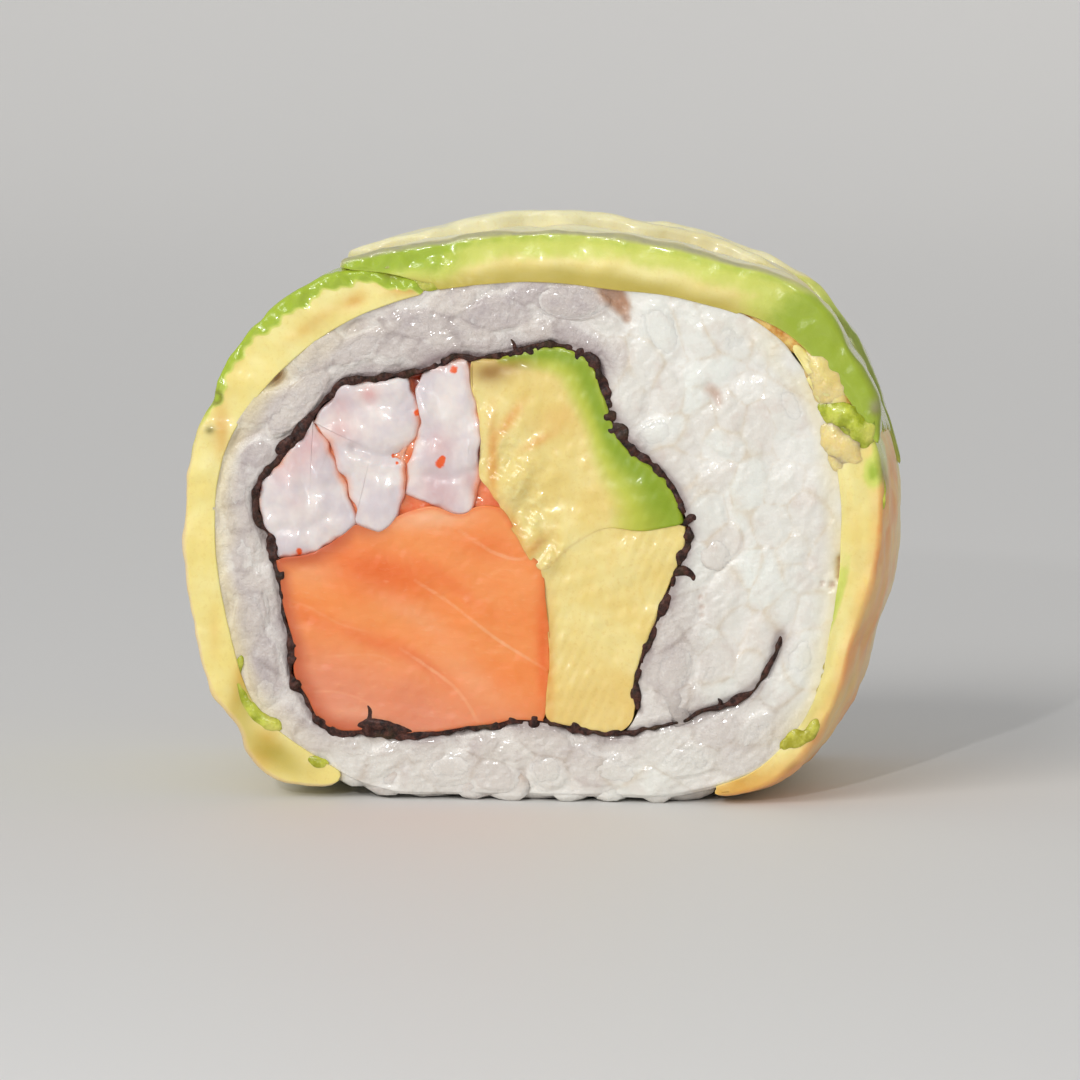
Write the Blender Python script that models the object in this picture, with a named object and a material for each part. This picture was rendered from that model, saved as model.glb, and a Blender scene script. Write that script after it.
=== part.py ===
"""Uramaki roll: one piece of an inside-out sushi roll, wrapped in slices of avocado.

The roll lies along Y and rests on Z = 0, with its middle at X = 0, Y = 0. Its front cut faces -Y.
Every section below is drawn in millimetres as it shows on the front cut: X to the right, Z up.
Each piece is its section carried along Y, and one soft bend, settle, then shapes them all alike.
"""

import math
import random

import bmesh
import bpy
import numpy as np
from mathutils import Euler, Matrix, Vector

MM = 0.001

# Driving sizes, in millimetres
ROLL_LENGTH = 26.0
HALF = ROLL_LENGTH / 2
GAP = 0.3
NORI_THICKNESS = 0.45
MIDDLE = (0.0, 18.5)
CORE_INSET = 0.7  # how far the rice grains stand out of the rice core
GRAIN_LENGTH = 6.4
GRAIN_WIDTH = 2.9
GRAIN_HEIGHT = 2.6
FACE_GRAINS = 52
FACE_LEAN = 0.15  # how far a grain on a cut face leans out of the cut, in radians
UNDERSIDE_GRAINS = 36
PRESSED_FLAT = 0.3  # how much of a lowest grain is flattened where the roll rests
UNDERSIDE = ((-13.3, 10.9), (-HALF + 0.2, HALF - 0.2))  # its reach in X and in Y
COVER_POINTS = 48  # round one cover slice's section
COVER_EDGE = 0.5  # how far a cover slice's cut ends are rounded off
FILLING_EDGE = 0.35
PRESS_NEAR, PRESS_FAR = 1.0, 1.7  # an edge nearer to its neighbour than these is drawn up to it
END_SUNK = {"salmon": 0.0, "avocado": 0.05, "prawn": 0.25}  # how far each filling's ends lie back

# How the soft roll gives way between its cuts
DRIFT_TURN = math.radians(4.0)
DRIFT_SHIFT = (0.5, 0.4)
BULGE = 0.3
FLANK_BULGE = 1.2
FLANK_ANGLE = math.radians(-20.0)
FLANK_REACH = math.radians(56.0)

# The rice's outer edge, then the sheet of nori from its outer end inwards
RICE_EDGE = [
    (21.5, 18.5), (21.2, 24.2), (19.5, 29.7), (15.7, 34.2), (10.2, 36.2), (4.9, 36.9),
    (0.0, 37.4), (-5.0, 37.1), (-10.1, 36.0), (-15.2, 33.7), (-19.7, 29.9), (-23.0, 24.7),
    (-23.6, 18.5), (-22.7, 12.4), (-20.6, 6.4), (-15.7, 2.6), (-11.0, 0.6), (-4.9, 0.3),
    (4.9, 0.3), (10.2, 0.7), (15.8, 2.7), (19.5, 7.3), (20.8, 12.9),
]
NORI_LINE = [
    (17.1, 12.2), (16.6, 10.5), (15.8, 8.9), (14.4, 7.8), (10.8, 6.3), (8.3, 5.5), (5.8, 5.0),
    (3.6, 5.1), (-0.7, 5.8), (-4.3, 5.4), (-8.6, 4.7), (-11.5, 5.0), (-14.4, 4.8), (-16.1, 5.7),
    (-17.1, 7.4), (-18.0, 9.0), (-17.9, 11.0), (-18.6, 13.5), (-19.3, 17.9), (-20.4, 20.4),
    (-20.3, 22.7), (-19.1, 24.3), (-15.7, 28.4), (-13.9, 30.1), (-11.2, 30.4), (-8.3, 31.0),
    (-5.9, 31.9), (-3.6, 31.9), (0.6, 32.8), (2.7, 32.3), (3.9, 31.5), (4.5, 29.6), (5.9, 26.0),
    (9.0, 23.3), (10.2, 21.1), (10.5, 18.9), (9.1, 15.0), (7.3, 10.3), (6.8, 8.1), (7.0, 6.7),
]
NORI_TAIL_LENGTH = 11.6  # how much of the sheet, from its outer end, has rice on both faces

# The filling's sections, each later pressed against the nori and against those before it
FILLING = {
    "prawn_left": [
        (-16.1, 26.6), (-14.9, 23.4), (-13.8, 20.0), (-14.4, 19.1), (-15.3, 18.4), (-17.3, 18.0),
        (-18.3, 18.0), (-19.5, 20.1), (-19.6, 22.2), (-18.6, 23.5), (-17.3, 25.2),
    ],
    "prawn_middle": [
        (-15.0, 27.8), (-13.7, 29.2), (-11.9, 29.7), (-9.9, 29.4), (-9.0, 28.1), (-8.9, 26.4),
        (-9.6, 24.7), (-10.2, 21.4), (-11.1, 19.8), (-12.2, 20.0), (-13.2, 22.4), (-14.0, 24.4),
        (-14.7, 26.2),
    ],
    "prawn_right": [
        (-5.6, 31.0), (-4.6, 29.7), (-3.9, 27.2), (-3.8, 25.3), (-4.4, 21.8), (-5.2, 20.7),
        (-6.6, 20.7), (-8.2, 21.0), (-9.2, 22.3), (-9.3, 23.6), (-8.4, 26.1), (-8.2, 28.4),
        (-7.6, 29.6), (-6.8, 30.4),
    ],
    "avocado_strip_upper": [
        (-4.0, 31.1), (-2.0, 31.4), (0.8, 31.9), (2.6, 31.3), (3.4, 29.6), (4.4, 27.0),
        (5.4, 25.0), (7.7, 22.9), (9.0, 21.0), (9.4, 20.0), (7.2, 19.6), (4.7, 19.8), (2.4, 18.6),
        (0.1, 16.9), (-1.7, 19.4), (-2.8, 21.0), (-3.5, 23.4), (-3.3, 25.6), (-3.8, 29.4),
    ],
    "avocado_strip_lower": [
        (9.3, 19.0), (9.3, 18.0), (8.8, 16.8), (7.9, 15.2), (7.3, 13.2), (6.4, 10.9), (5.9, 8.5),
        (5.9, 6.6), (4.0, 6.1), (1.3, 6.4), (0.7, 7.6), (0.9, 9.9), (0.8, 12.5), (0.5, 15.6),
        (1.3, 16.9), (3.0, 18.1), (4.9, 19.0), (7.2, 19.0),
    ],
    "salmon": [
        (-18.4, 16.9), (-14.8, 17.8), (-13.5, 18.6), (-11.2, 19.0), (-9.7, 20.0), (-8.3, 20.3),
        (-4.8, 20.1), (-3.6, 20.9), (-2.4, 19.4), (-0.6, 16.4), (0.1, 12.5), (0.2, 9.2), (0.0, 6.4),
        (-2.9, 6.2), (-7.2, 5.8), (-10.2, 5.7), (-14.3, 5.7), (-15.5, 6.3), (-16.4, 7.8),
        (-17.2, 9.4), (-17.2, 11.0), (-17.9, 13.8),
    ],
}

# The cover's slices: height above the rice at each angle round MIDDLE, from +X towards the top
SIDE_LEFT = {
    "over": [(115, 0.9), (119, 1.9), (123, 2.9), (128, 3.6), (135, 3.7), (148, 3.5), (154, 2.9),
             (160, 2.4), (173, 2.2), (189, 2.4), (202, 2.5), (211, 1.8), (216, 2.7), (222, 3.0),
             (229, 1.2)],
    "under": [(115, 0.4), (130, 0.35), (225, 0.35), (229, 0.6)],
}
SIDE_RIGHT = {
    "over": [(-54, 0.8), (-49, 1.2), (-41, 1.4), (-31, 1.4), (-17, 1.7), (-3, 2.5), (11, 2.9),
             (19, 2.7), (24, 1.9), (30, 1.4), (38, 0.9)],
    "under": [(-54, 0.45), (-48, 0.35), (30, 0.35), (38, 0.5)],
}
TOP_UNDER = [(18, 3.3), (23, 2.5), (29, 1.9), (37, 1.4), (43, 0.8), (48, 0.35), (107, 0.35),
             (111, 0.9), (115, 1.9), (119, 3.0), (125, 3.8)]
TOP_FRONT = {
    "over": [(18, 3.6), (24, 3.9), (31, 3.7), (39, 3.9), (48, 3.9), (57, 3.5), (67, 3.6), (80, 3.7),
             (93, 3.5), (108, 3.4), (118, 3.7), (125, 4.2)],
    "under": TOP_UNDER,
}
TOP_MIDDLE = {
    "over": [(18, 3.8), (25, 4.2), (35, 4.3), (50, 4.2), (65, 4.4), (80, 4.6), (95, 4.5), (110, 4.2),
             (119, 4.2), (125, 4.4)],
    "under": TOP_UNDER,
}
TOP_BACK = {
    "over": [(13, 3.8), (22, 4.0), (35, 4.2), (50, 4.2), (65, 4.1), (80, 4.2), (95, 4.3), (110, 4.1),
             (119, 4.3), (128, 4.6)],
    "under": [(13, 3.4), (18, 3.35), *TOP_UNDER[1:-1], (124, 3.9), (128, 4.2)],
}
TOP_SLICES = {  # where along Y each starts and ends, and how far its outside sinks on the way
    "avocado_top_front": (TOP_FRONT, -HALF, -8.5, 0.0),
    "avocado_top_middle": (TOP_MIDDLE, -8.2, 2.2, 0.6),
    "avocado_top_back": (TOP_BACK, 2.5, HALF, 0.7),
}


def clear_scene():
    for item in list(bpy.data.objects):
        bpy.data.objects.remove(item, do_unlink=True)


def material(name, color, roughness):
    made = bpy.data.materials.new(name)
    made.use_nodes = True
    shader = made.node_tree.nodes["Principled BSDF"]
    shader.inputs["Base Color"].default_value = (*color, 1.0)
    shader.inputs["Roughness"].default_value = roughness
    shader.inputs["Metallic"].default_value = 0.0
    made.diffuse_color = (*color, 1.0)
    return made


def curve_through(points, spacing, closed=True):
    """Even points, about spacing apart, on the smooth curve through the given ones."""
    given = np.array(points, float)
    if closed:
        before, start, end, after = (np.roll(given, turn, 0) for turn in (1, 0, -1, -2))
    else:
        given = np.vstack([2 * given[0] - given[1], given, 2 * given[-1] - given[-2]])
        before, start, end, after = given[:-3], given[1:-2], given[2:-1], given[3:]
    t = np.linspace(0, 1, 12, endpoint=False)[:, None, None]
    fine = 0.5 * (
        2 * start
        + (end - before) * t
        + (2 * before - 5 * start + 4 * end - after) * t**2
        + (3 * start - before - 3 * end + after) * t**3
    )
    fine = np.vstack([fine.transpose(1, 0, 2).reshape(-1, 2), end[-1:]])
    walked = np.concatenate([[0], np.cumsum(np.linalg.norm(np.diff(fine, axis=0), axis=1))])
    places = np.linspace(0, walked[-1], round(walked[-1] / spacing) + 1)
    if closed:
        places = places[:-1]
    return np.stack([np.interp(places, walked, fine[:, axis]) for axis in (0, 1)], 1)


def sideways(line, closed):
    """The unit normals of a line of points, to the left of the way it runs."""
    if closed:
        along = np.roll(line, -1, 0) - np.roll(line, 1, 0)
    else:
        along = np.gradient(line, axis=0)
    along /= np.linalg.norm(along, axis=1)[:, None]
    return np.stack([-along[:, 1], along[:, 0]], 1)


def area(outline):
    ahead = np.roll(outline, -1, 0)
    return 0.5 * np.sum(outline[:, 0] * ahead[:, 1] - ahead[:, 0] * outline[:, 1])


def smaller(outline, amount):
    """The outline moved inwards."""
    return outline + sideways(outline, True) * math.copysign(amount, area(outline))


def inside(point, outline):
    x, z = point
    ahead = np.roll(outline, -1, 0)
    crosses = (outline[:, 1] > z) != (ahead[:, 1] > z)
    rise = np.where(crosses, ahead[:, 1] - outline[:, 1], 1.0)
    at = outline[:, 0] + (z - outline[:, 1]) / rise * (ahead[:, 0] - outline[:, 0])
    return np.count_nonzero(crosses & (x < at)) % 2 == 1


def depth(point, outline):
    """Distance from the outline: positive inside it and negative outside."""
    away = np.min(np.linalg.norm(outline - np.array(point), axis=1))
    return away if inside(point, outline) else -away


RICE_OUTLINE = curve_through(RICE_EDGE, 1.7)
RICE_ANGLES = np.arctan2(RICE_OUTLINE[:, 1] - MIDDLE[1], RICE_OUTLINE[:, 0] - MIDDLE[0])
RICE_RADII = np.linalg.norm(RICE_OUTLINE - np.array(MIDDLE), axis=1)


def rice_radius(angle):
    order = np.argsort(RICE_ANGLES)
    return np.interp(angle, RICE_ANGLES[order], RICE_RADII[order], period=2 * math.pi)


def settle(point):
    """Where a point of the straight roll comes to lie in the real, soft one.

    The filling turns and shifts along the roll, and the sides bulge between the two cuts.
    """
    x, y, z = point
    along = max(-1.0, min(1.0, y / HALF))
    across = Vector((x - MIDDLE[0], z - MIDDLE[1]))
    angle = math.atan2(across.y, across.x)
    share = across.length / float(rice_radius(angle))
    drift = (along + 1) / 2 * max(0.0, 1 - share**4)
    across = Matrix.Rotation(DRIFT_TURN * drift, 2) @ across + Vector(DRIFT_SHIFT) * drift
    turned = math.remainder(angle - FLANK_ANGLE, 2 * math.pi) / FLANK_REACH * math.pi / 2
    flank = FLANK_BULGE * math.cos(max(-math.pi / 2, min(math.pi / 2, turned))) ** 2
    lifted = BULGE * (1 + math.sin(angle)) / 2
    swell = 1 + (flank + lifted) * (1 - abs(along) ** 3) * min(share, 1.0) / rice_radius(angle)
    return Vector((MIDDLE[0] + across.x * swell, y, MIDDLE[1] + across.y * swell))


def loft(name, rings, look):
    """One closed object through rings of points (x, y, z), given in millimetres."""
    mesh = bmesh.new()
    rows = [[mesh.verts.new(settle(point) * MM) for point in ring] for ring in rings]
    for row, following in zip(rows, rows[1:]):
        for i in range(len(row)):
            mesh.faces.new((row[i - 1], row[i], following[i], following[i - 1]))
    mesh.faces.new(rows[0])
    mesh.faces.new(rows[-1][::-1])
    bmesh.ops.recalc_face_normals(mesh, faces=mesh.faces)
    if mesh.calc_volume(signed=True) < 0:
        bmesh.ops.reverse_faces(mesh, faces=mesh.faces)
    data = bpy.data.meshes.new(name)
    mesh.to_mesh(data)
    mesh.free()
    made = bpy.data.objects.new(name, data)
    bpy.context.collection.objects.link(made)
    data.materials.append(look)
    data.shade_smooth()
    data.set_sharp_from_angle(angle=math.radians(40))
    return made


def ring_at(outline, y):
    return [(x, y, z) for x, z in outline]


def bar(name, outline, small, reach, edge, look):
    """A section carried from -reach to reach along Y, its ends rounded off to the small outline."""
    rings = [ring_at(outline, y) for y in np.linspace(-reach + edge, reach - edge, 5)]
    return loft(name, [ring_at(small, -reach), *rings, ring_at(small, reach)], look)


def cover_outline(form, sunk=0.0, edge=0.0):
    """A cover slice's section. sunk lowers its outside between the two tips, and edge thins it."""
    first, last = form["over"][0][0], form["over"][-1][0]
    degrees = np.linspace(first, last, COVER_POINTS // 2)
    over, under = (
        np.interp(degrees, *curve_through(form[side], 1.0, closed=False).T) for side in ("over", "under")
    )
    thickness = over - under
    over = over - np.minimum(edge, thickness / 4) - sunk * np.sin(np.linspace(0, math.pi, len(over)))
    under = under + np.minimum(edge, thickness / 4)
    angles = np.radians(np.concatenate([degrees, degrees[::-1]]))
    radii = rice_radius(angles) + np.concatenate([over, under[::-1]])
    return np.stack([MIDDLE[0] + radii * np.cos(angles), MIDDLE[1] + radii * np.sin(angles)], 1)


def nori_line():
    """The sheet's middle line and, at each of its points, the way to its outer face."""
    line = curve_through(NORI_LINE, 1.3, closed=False)
    out = sideways(line, False)
    return line, out


def make_nori(look):
    line, out = nori_line()
    half = NORI_THICKNESS / 2
    outline = np.vstack([line + out * half, (line - out * half)[::-1]])
    rings = [ring_at(outline, y) for y in np.linspace(-HALF + 0.3, HALF - 0.3, 4)]
    return loft("nori", rings, look)


def hollow_outline():
    """The space that the nori and the filling take in the rice, with the slot for the nori's tail."""
    line, out = nori_line()
    clear = NORI_THICKNESS / 2 + GAP + 0.05
    steps = np.linalg.norm(np.diff(line, axis=0), axis=1)
    tail = int(np.searchsorted(np.cumsum(steps), NORI_TAIL_LENGTH))
    around = line + out * clear
    back = (line - out * clear)[: tail + 1][::-1]
    end = line[:1] - (line[1] - line[0]) / steps[0] * clear
    return np.vstack([around, back, end])


def pressed(outline, line, clear):
    """The outline, with what comes near the line drawn up to it until it is just clear of it."""
    apart = outline[:, None] - line[None]
    distances = np.linalg.norm(apart, axis=2)
    nearest = np.argmin(distances, axis=1)
    here = np.arange(len(outline))
    away = distances[here, nearest]
    drawn = np.interp(away, [0, PRESS_NEAR, PRESS_FAR], [clear, clear, PRESS_FAR])
    drawn = np.where(away < PRESS_FAR, drawn, away)
    return line[nearest] + apart[here, nearest] * (drawn / away)[:, None]


def make_filling(look_of):
    nori = curve_through(NORI_LINE, 0.2, closed=False)
    made = []
    for name, points in FILLING.items():
        outline = curve_through(points, 1.25)
        for other in made:
            outline = pressed(outline, other, GAP + 0.05)
        outline = pressed(outline, nori, NORI_THICKNESS / 2 + GAP + 0.05)
        made.append(curve_through(outline, 0.2))
        reach = HALF - END_SUNK[name.split("_")[0]]
        bar(name, outline, smaller(outline, FILLING_EDGE), reach, FILLING_EDGE, look_of(name))


def make_cover(look):
    for name, form in (("avocado_side_left", SIDE_LEFT), ("avocado_side_right", SIDE_RIGHT)):
        small = cover_outline(form, edge=COVER_EDGE)
        bar(name, cover_outline(form), small, HALF, COVER_EDGE, look)
    for name, (form, front, back, sinks) in TOP_SLICES.items():
        rings = [ring_at(cover_outline(form, edge=COVER_EDGE), front)]
        for y in np.linspace(front + COVER_EDGE, back - COVER_EDGE, 3):
            rings.append(ring_at(cover_outline(form, sinks * (y - front) / (back - front)), y))
        rings.append(ring_at(cover_outline(form, sinks, COVER_EDGE), back))
        loft(name, rings, look)


def grain(group, center, turn, size, look):
    """One rice grain: a plump pointed ellipsoid of a few faces."""
    mesh = bmesh.new()
    bmesh.ops.create_uvsphere(mesh, u_segments=6, v_segments=4, radius=0.5)
    bmesh.ops.rotate(mesh, verts=mesh.verts, matrix=Matrix.Rotation(math.pi / 2, 3, "Y"))
    bmesh.ops.scale(mesh, verts=mesh.verts, vec=Vector(size))
    data = bpy.data.meshes.new("grain")
    mesh.to_mesh(data)
    mesh.free()
    data.transform(Matrix.Scale(MM, 4))
    made = bpy.data.objects.new("grain", data)
    made.matrix_world = Matrix.Translation(settle(center) * MM) @ turn.to_matrix().to_4x4()
    data.materials.append(look)
    group.objects.link(made)
    return made


def grain_size(draw):
    scale = draw.uniform(0.88, 1.05)
    return GRAIN_LENGTH * scale * draw.uniform(0.75, 1.0), GRAIN_WIDTH * scale, GRAIN_HEIGHT * scale


def fits(center, direction, reach, half_width, outer, hollow):
    """Whether a grain that lies on a cut face stays in the rice, with the outer edge and the hollow clear."""
    for share in (-1, 0, 1):
        point = np.array(center) + np.array(direction) * reach * share
        if depth(point, outer) < half_width or -depth(point, hollow) < half_width:
            return False
    return True


def face_grains(group, side, draw, hollow, look):
    """Grains spread over one cut face, standing out of the core."""
    outer = curve_through(RICE_EDGE, 0.8)
    placed = []
    tries = 0
    while len(placed) < FACE_GRAINS and tries < 6000:
        tries += 1
        center = (draw.uniform(-23, 21), draw.uniform(1, 37))
        heading = draw.uniform(0, math.pi)
        size = grain_size(draw)
        direction = (math.cos(heading), math.sin(heading))
        if not fits(center, direction, size[0] * 0.34, GRAIN_WIDTH * 0.5 + 0.05, outer, hollow):
            continue
        if any(math.dist(center, other) < GRAIN_WIDTH * 1.02 for other in placed):
            continue
        placed.append(center)
        lean = draw.uniform(-FACE_LEAN, FACE_LEAN)
        sunk = size[2] / 2 + abs(lean) * size[0] / 4 + draw.uniform(0.0, 0.2)
        turn = Euler((0.0, -heading, 0.0)).to_quaternion() @ Euler((0.0, 0.0, lean)).to_quaternion()
        grain(group, (center[0], side * (HALF - sunk), center[1]), turn, size, look)
    return placed


def underside_grains(group, draw, look):
    """Grains along the underside, and first the one at its middle that the roll is measured to rest on."""
    placed = [(0.0, 0.0)]
    size = (GRAIN_LENGTH, GRAIN_WIDTH, GRAIN_HEIGHT)
    grain(group, (0.0, 0.0, size[2] / 2 - PRESSED_FLAT), Euler().to_quaternion(), size, look)
    for _ in range(6000):
        if len(placed) == UNDERSIDE_GRAINS:
            break
        heading = draw.uniform(0, math.pi)
        size = grain_size(draw)
        along, across = abs(math.cos(heading)) * size[0], abs(math.sin(heading)) * size[0]
        half_box = max(along, size[1]) / 2, max(across, size[1]) / 2
        spot = [draw.uniform(low + half, high - half) for (low, high), half in zip(UNDERSIDE, half_box)]
        if any(math.dist(spot, other) < GRAIN_WIDTH * 1.1 for other in placed):
            continue
        placed.append(spot)
        lift = size[2] / 2 - draw.uniform(0.3, 1.2) * PRESSED_FLAT
        grain(group, (*spot, lift), Euler((0.0, 0.0, heading)).to_quaternion(), size, look)


def apply_boolean(target, operation, **other):
    tool = target.modifiers.new(operation.lower(), "BOOLEAN")
    tool.operation = operation
    tool.solver = "EXACT"
    for setting, value in other.items():
        setattr(tool, setting, value)
    bpy.context.view_layer.update()
    graph = bpy.context.evaluated_depsgraph_get()
    joined = bpy.data.meshes.new_from_object(target.evaluated_get(graph))
    target.modifiers.remove(tool)
    target.data = joined


def flatten_underside(target):
    """Cuts the lowest grains off at the ground, where their weight presses them flat."""
    mesh = bmesh.new()
    mesh.from_mesh(target.data)
    everything = mesh.verts[:] + mesh.edges[:] + mesh.faces[:]
    bmesh.ops.bisect_plane(
        mesh, geom=everything, dist=1e-7, plane_co=(0, 0, 0), plane_no=(0, 0, -1), clear_outer=True
    )
    bmesh.ops.holes_fill(mesh, edges=[edge for edge in mesh.edges if edge.is_boundary])
    bmesh.ops.triangulate(mesh, faces=mesh.faces)
    mesh.to_mesh(target.data)
    mesh.free()


def make_rice(look):
    """The core with its grains fused on, round a hollow for the nori and the filling."""
    hollow = hollow_outline()
    core_edge = RICE_OUTLINE.copy()
    core_edge[:, 1] = np.maximum(core_edge[:, 1], CORE_INSET)
    end = HALF - CORE_INSET
    core = loft("rice", [ring_at(core_edge, y) for y in np.linspace(-end, end, 5)], look)
    cutter_rows = [-HALF - 1.0, *np.linspace(-end, end, 5), HALF + 1.0]
    cutter = loft("hollow_cutter", [ring_at(hollow, y) for y in cutter_rows], look)
    cutter.hide_render = True
    cutter.display_type = "WIRE"
    group = bpy.data.collections.new("grains")
    bpy.context.scene.collection.children.link(group)
    draw = random.Random(7)
    for side in (-1, 1):
        face_grains(group, side, draw, hollow, look)
    underside_grains(group, draw, look)
    apply_boolean(core, "UNION", operand_type="COLLECTION", collection=group)
    apply_boolean(core, "DIFFERENCE", object=cutter)
    for piece in [*group.objects, cutter]:
        bpy.data.objects.remove(piece, do_unlink=True)
    bpy.data.collections.remove(group)
    flatten_underside(core)
    core.data.shade_smooth()
    core.data.set_sharp_from_angle(angle=math.radians(50))
    return core


def filling_looks():
    avocado = material("avocado_filling", (0.80, 0.66, 0.24), 0.45)
    salmon = material("salmon", (0.85, 0.24, 0.09), 0.35)
    prawn = material("prawn", (0.86, 0.62, 0.55), 0.35)
    by_first_word = {"salmon": salmon, "avocado": avocado, "prawn": prawn}
    return lambda name: by_first_word[name.split("_")[0]]


def main():
    clear_scene()
    make_rice(material("rice", (0.80, 0.77, 0.74), 0.4))
    make_nori(material("nori", (0.02, 0.015, 0.012), 0.6))
    make_filling(filling_looks())
    make_cover(material("avocado_cover", (0.72, 0.68, 0.22), 0.4))


main()
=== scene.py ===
import math

import bmesh
import bpy
import numpy as np
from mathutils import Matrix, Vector


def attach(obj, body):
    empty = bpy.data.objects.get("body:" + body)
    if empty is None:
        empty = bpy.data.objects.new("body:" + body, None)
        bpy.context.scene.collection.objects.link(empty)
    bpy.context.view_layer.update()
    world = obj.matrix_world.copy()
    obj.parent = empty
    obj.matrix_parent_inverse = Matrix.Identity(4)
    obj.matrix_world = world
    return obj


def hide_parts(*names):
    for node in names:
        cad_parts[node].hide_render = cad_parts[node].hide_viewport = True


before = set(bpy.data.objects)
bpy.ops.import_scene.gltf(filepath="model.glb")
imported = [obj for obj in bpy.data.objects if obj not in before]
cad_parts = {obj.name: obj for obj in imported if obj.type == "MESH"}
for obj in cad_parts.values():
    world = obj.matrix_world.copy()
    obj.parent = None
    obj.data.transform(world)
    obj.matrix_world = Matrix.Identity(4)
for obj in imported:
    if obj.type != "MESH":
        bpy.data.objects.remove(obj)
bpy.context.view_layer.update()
print("roll: the frame is in")

# Everything is worked out in millimetres, on the straight roll: x to the right, z up, y away from
# the front cut. settle() then bends every point as the soft roll gives way.
roll = {
    "halfLength": 13.0,
    "middle": (0.0, 18.5),
    "driftTurn": math.radians(4.0),  # how far the filling turns from the front cut to the back one
    "driftShift": (0.5, 0.4),
    "lift": 0.3,  # how far the top rises between the cuts
    "flank": 1.2,  # how far the right side swells between the cuts
    "flankAngle": math.radians(-20.0),
    "flankReach": math.radians(56.0),
}
half = roll["halfLength"]
middleX, middleZ = roll["middle"]

riceEdge = [
    (21.5, 18.5), (21.2, 24.2), (19.5, 29.7), (15.7, 34.2), (10.2, 36.2), (4.9, 36.9), (0.0, 37.4),
    (-5.0, 37.1), (-10.1, 36.0), (-15.2, 33.7), (-19.7, 29.9), (-23.0, 24.7), (-23.6, 18.5),
    (-22.7, 12.4), (-20.6, 6.4), (-15.7, 2.6), (-11.0, 0.6), (-4.9, 0.3), (4.9, 0.3), (10.2, 0.7),
    (15.8, 2.7), (19.5, 7.3), (20.8, 12.9),
]
noriPath = [
    (17.1, 12.2), (16.6, 10.5), (15.8, 8.9), (14.4, 7.8), (10.8, 6.3), (8.3, 5.5), (5.8, 5.0),
    (3.6, 5.1), (-0.7, 5.8), (-4.3, 5.4), (-8.6, 4.7), (-11.5, 5.0), (-14.4, 4.8), (-16.1, 5.7),
    (-17.1, 7.4), (-18.0, 9.0), (-17.9, 11.0), (-18.6, 13.5), (-19.3, 17.9), (-20.4, 20.4),
    (-20.3, 22.7), (-19.1, 24.3), (-15.7, 28.4), (-13.9, 30.1), (-11.2, 30.4), (-8.3, 31.0),
    (-5.9, 31.9), (-3.6, 31.9), (0.6, 32.8), (2.7, 32.3), (3.9, 31.5), (4.5, 29.6), (5.9, 26.0),
    (9.0, 23.3), (10.2, 21.1), (10.5, 18.9), (9.1, 15.0), (7.3, 10.3), (6.8, 8.1), (7.0, 6.7),
]


def smoothLine(points, count, closed=True):
    # a Catmull-Rom curve through the points, walked in even steps: count places on it
    given = np.array(points, float)
    if closed:
        chain = np.vstack([given[-1:], given, given[:2]])
    else:
        chain = np.vstack([2 * given[0] - given[1], given, 2 * given[-1] - given[-2]])
    before, start, end, after = chain[:-3], chain[1:-2], chain[2:-1], chain[3:]
    t = np.linspace(0, 1, 24, endpoint=False)[:, None, None]
    fine = 0.5 * (2 * start + (end - before) * t + (2 * before - 5 * start + 4 * end - after) * t**2
                  + (3 * start - before - 3 * end + after) * t**3)
    fine = np.vstack([fine.transpose(1, 0, 2).reshape(-1, given.shape[1]), end[-1:]])
    steps = np.linalg.norm(np.diff(fine[:, :2], axis=0), axis=1)
    walked = np.concatenate([[0], np.cumsum(steps)])
    places = np.linspace(0, walked[-1], count + 1 if closed else count)[:count]
    return np.stack([np.interp(places, walked, column) for column in fine.T], 1)


def leftOf(line, closed):
    # unit normals to the left of the way a line of points runs
    along = np.roll(line, -1, 0) - np.roll(line, 1, 0) if closed else np.gradient(line, axis=0)
    along = along / np.linalg.norm(along, axis=1)[:, None]
    return np.stack([-along[:, 1], along[:, 0]], 1)


def ripples(points, size, seed, waves=26):
    # a sum of sine waves in random directions, wavelengths near size: spreads about 0 by about 1
    draw = np.random.default_rng(seed)
    points = np.asarray(points, float)
    ways = draw.normal(size=(waves, points.shape[-1]))
    ways /= np.linalg.norm(ways, axis=1)[:, None]
    lengths = size * draw.uniform(0.6, 1.7, waves)
    phases = draw.uniform(0, 2 * np.pi, waves)
    total = np.zeros(points.shape[:-1])
    for way, length, phase in zip(ways, lengths, phases):
        total += np.sin(points @ way * (2 * np.pi / length) + phase)
    return total / math.sqrt(waves / 2)


def smooth(value, low, high):
    # 0 below low, 1 above high, an S between; low may be the larger of the two
    t = np.clip((value - low) / (high - low), 0, 1)
    return t * t * (3 - 2 * t)


def spot(x, z, centerX, centerZ, acrossSize, upSize=None, turn=0.0):
    # a soft oval: 1 in its middle, 0.37 on its edge, fading outwards
    dx, dz = x - centerX, z - centerZ
    c, s = math.cos(math.radians(turn)), math.sin(math.radians(turn))
    u, v = (dx * c + dz * s) / acrossSize, (dz * c - dx * s) / (upSize or acrossSize)
    return np.exp(-(u * u + v * v))


def distanceTo(x, z, line):
    # distance of each place from a line of points, taken to its segments, and which point is nearest
    flat = np.stack([np.ravel(x), np.ravel(z)], 1)
    best = np.full(len(flat), 1e9)
    which = np.zeros(len(flat), int)
    for part in np.array_split(np.arange(len(flat)), max(1, len(flat) // 20000)):
        apart = flat[part, None] - line[None]
        span = (apart**2).sum(-1)
        which[part] = span.argmin(1)
        best[part] = np.sqrt(span[np.arange(len(part)), which[part]])
    return best.reshape(np.shape(x)), which.reshape(np.shape(x))


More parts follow.
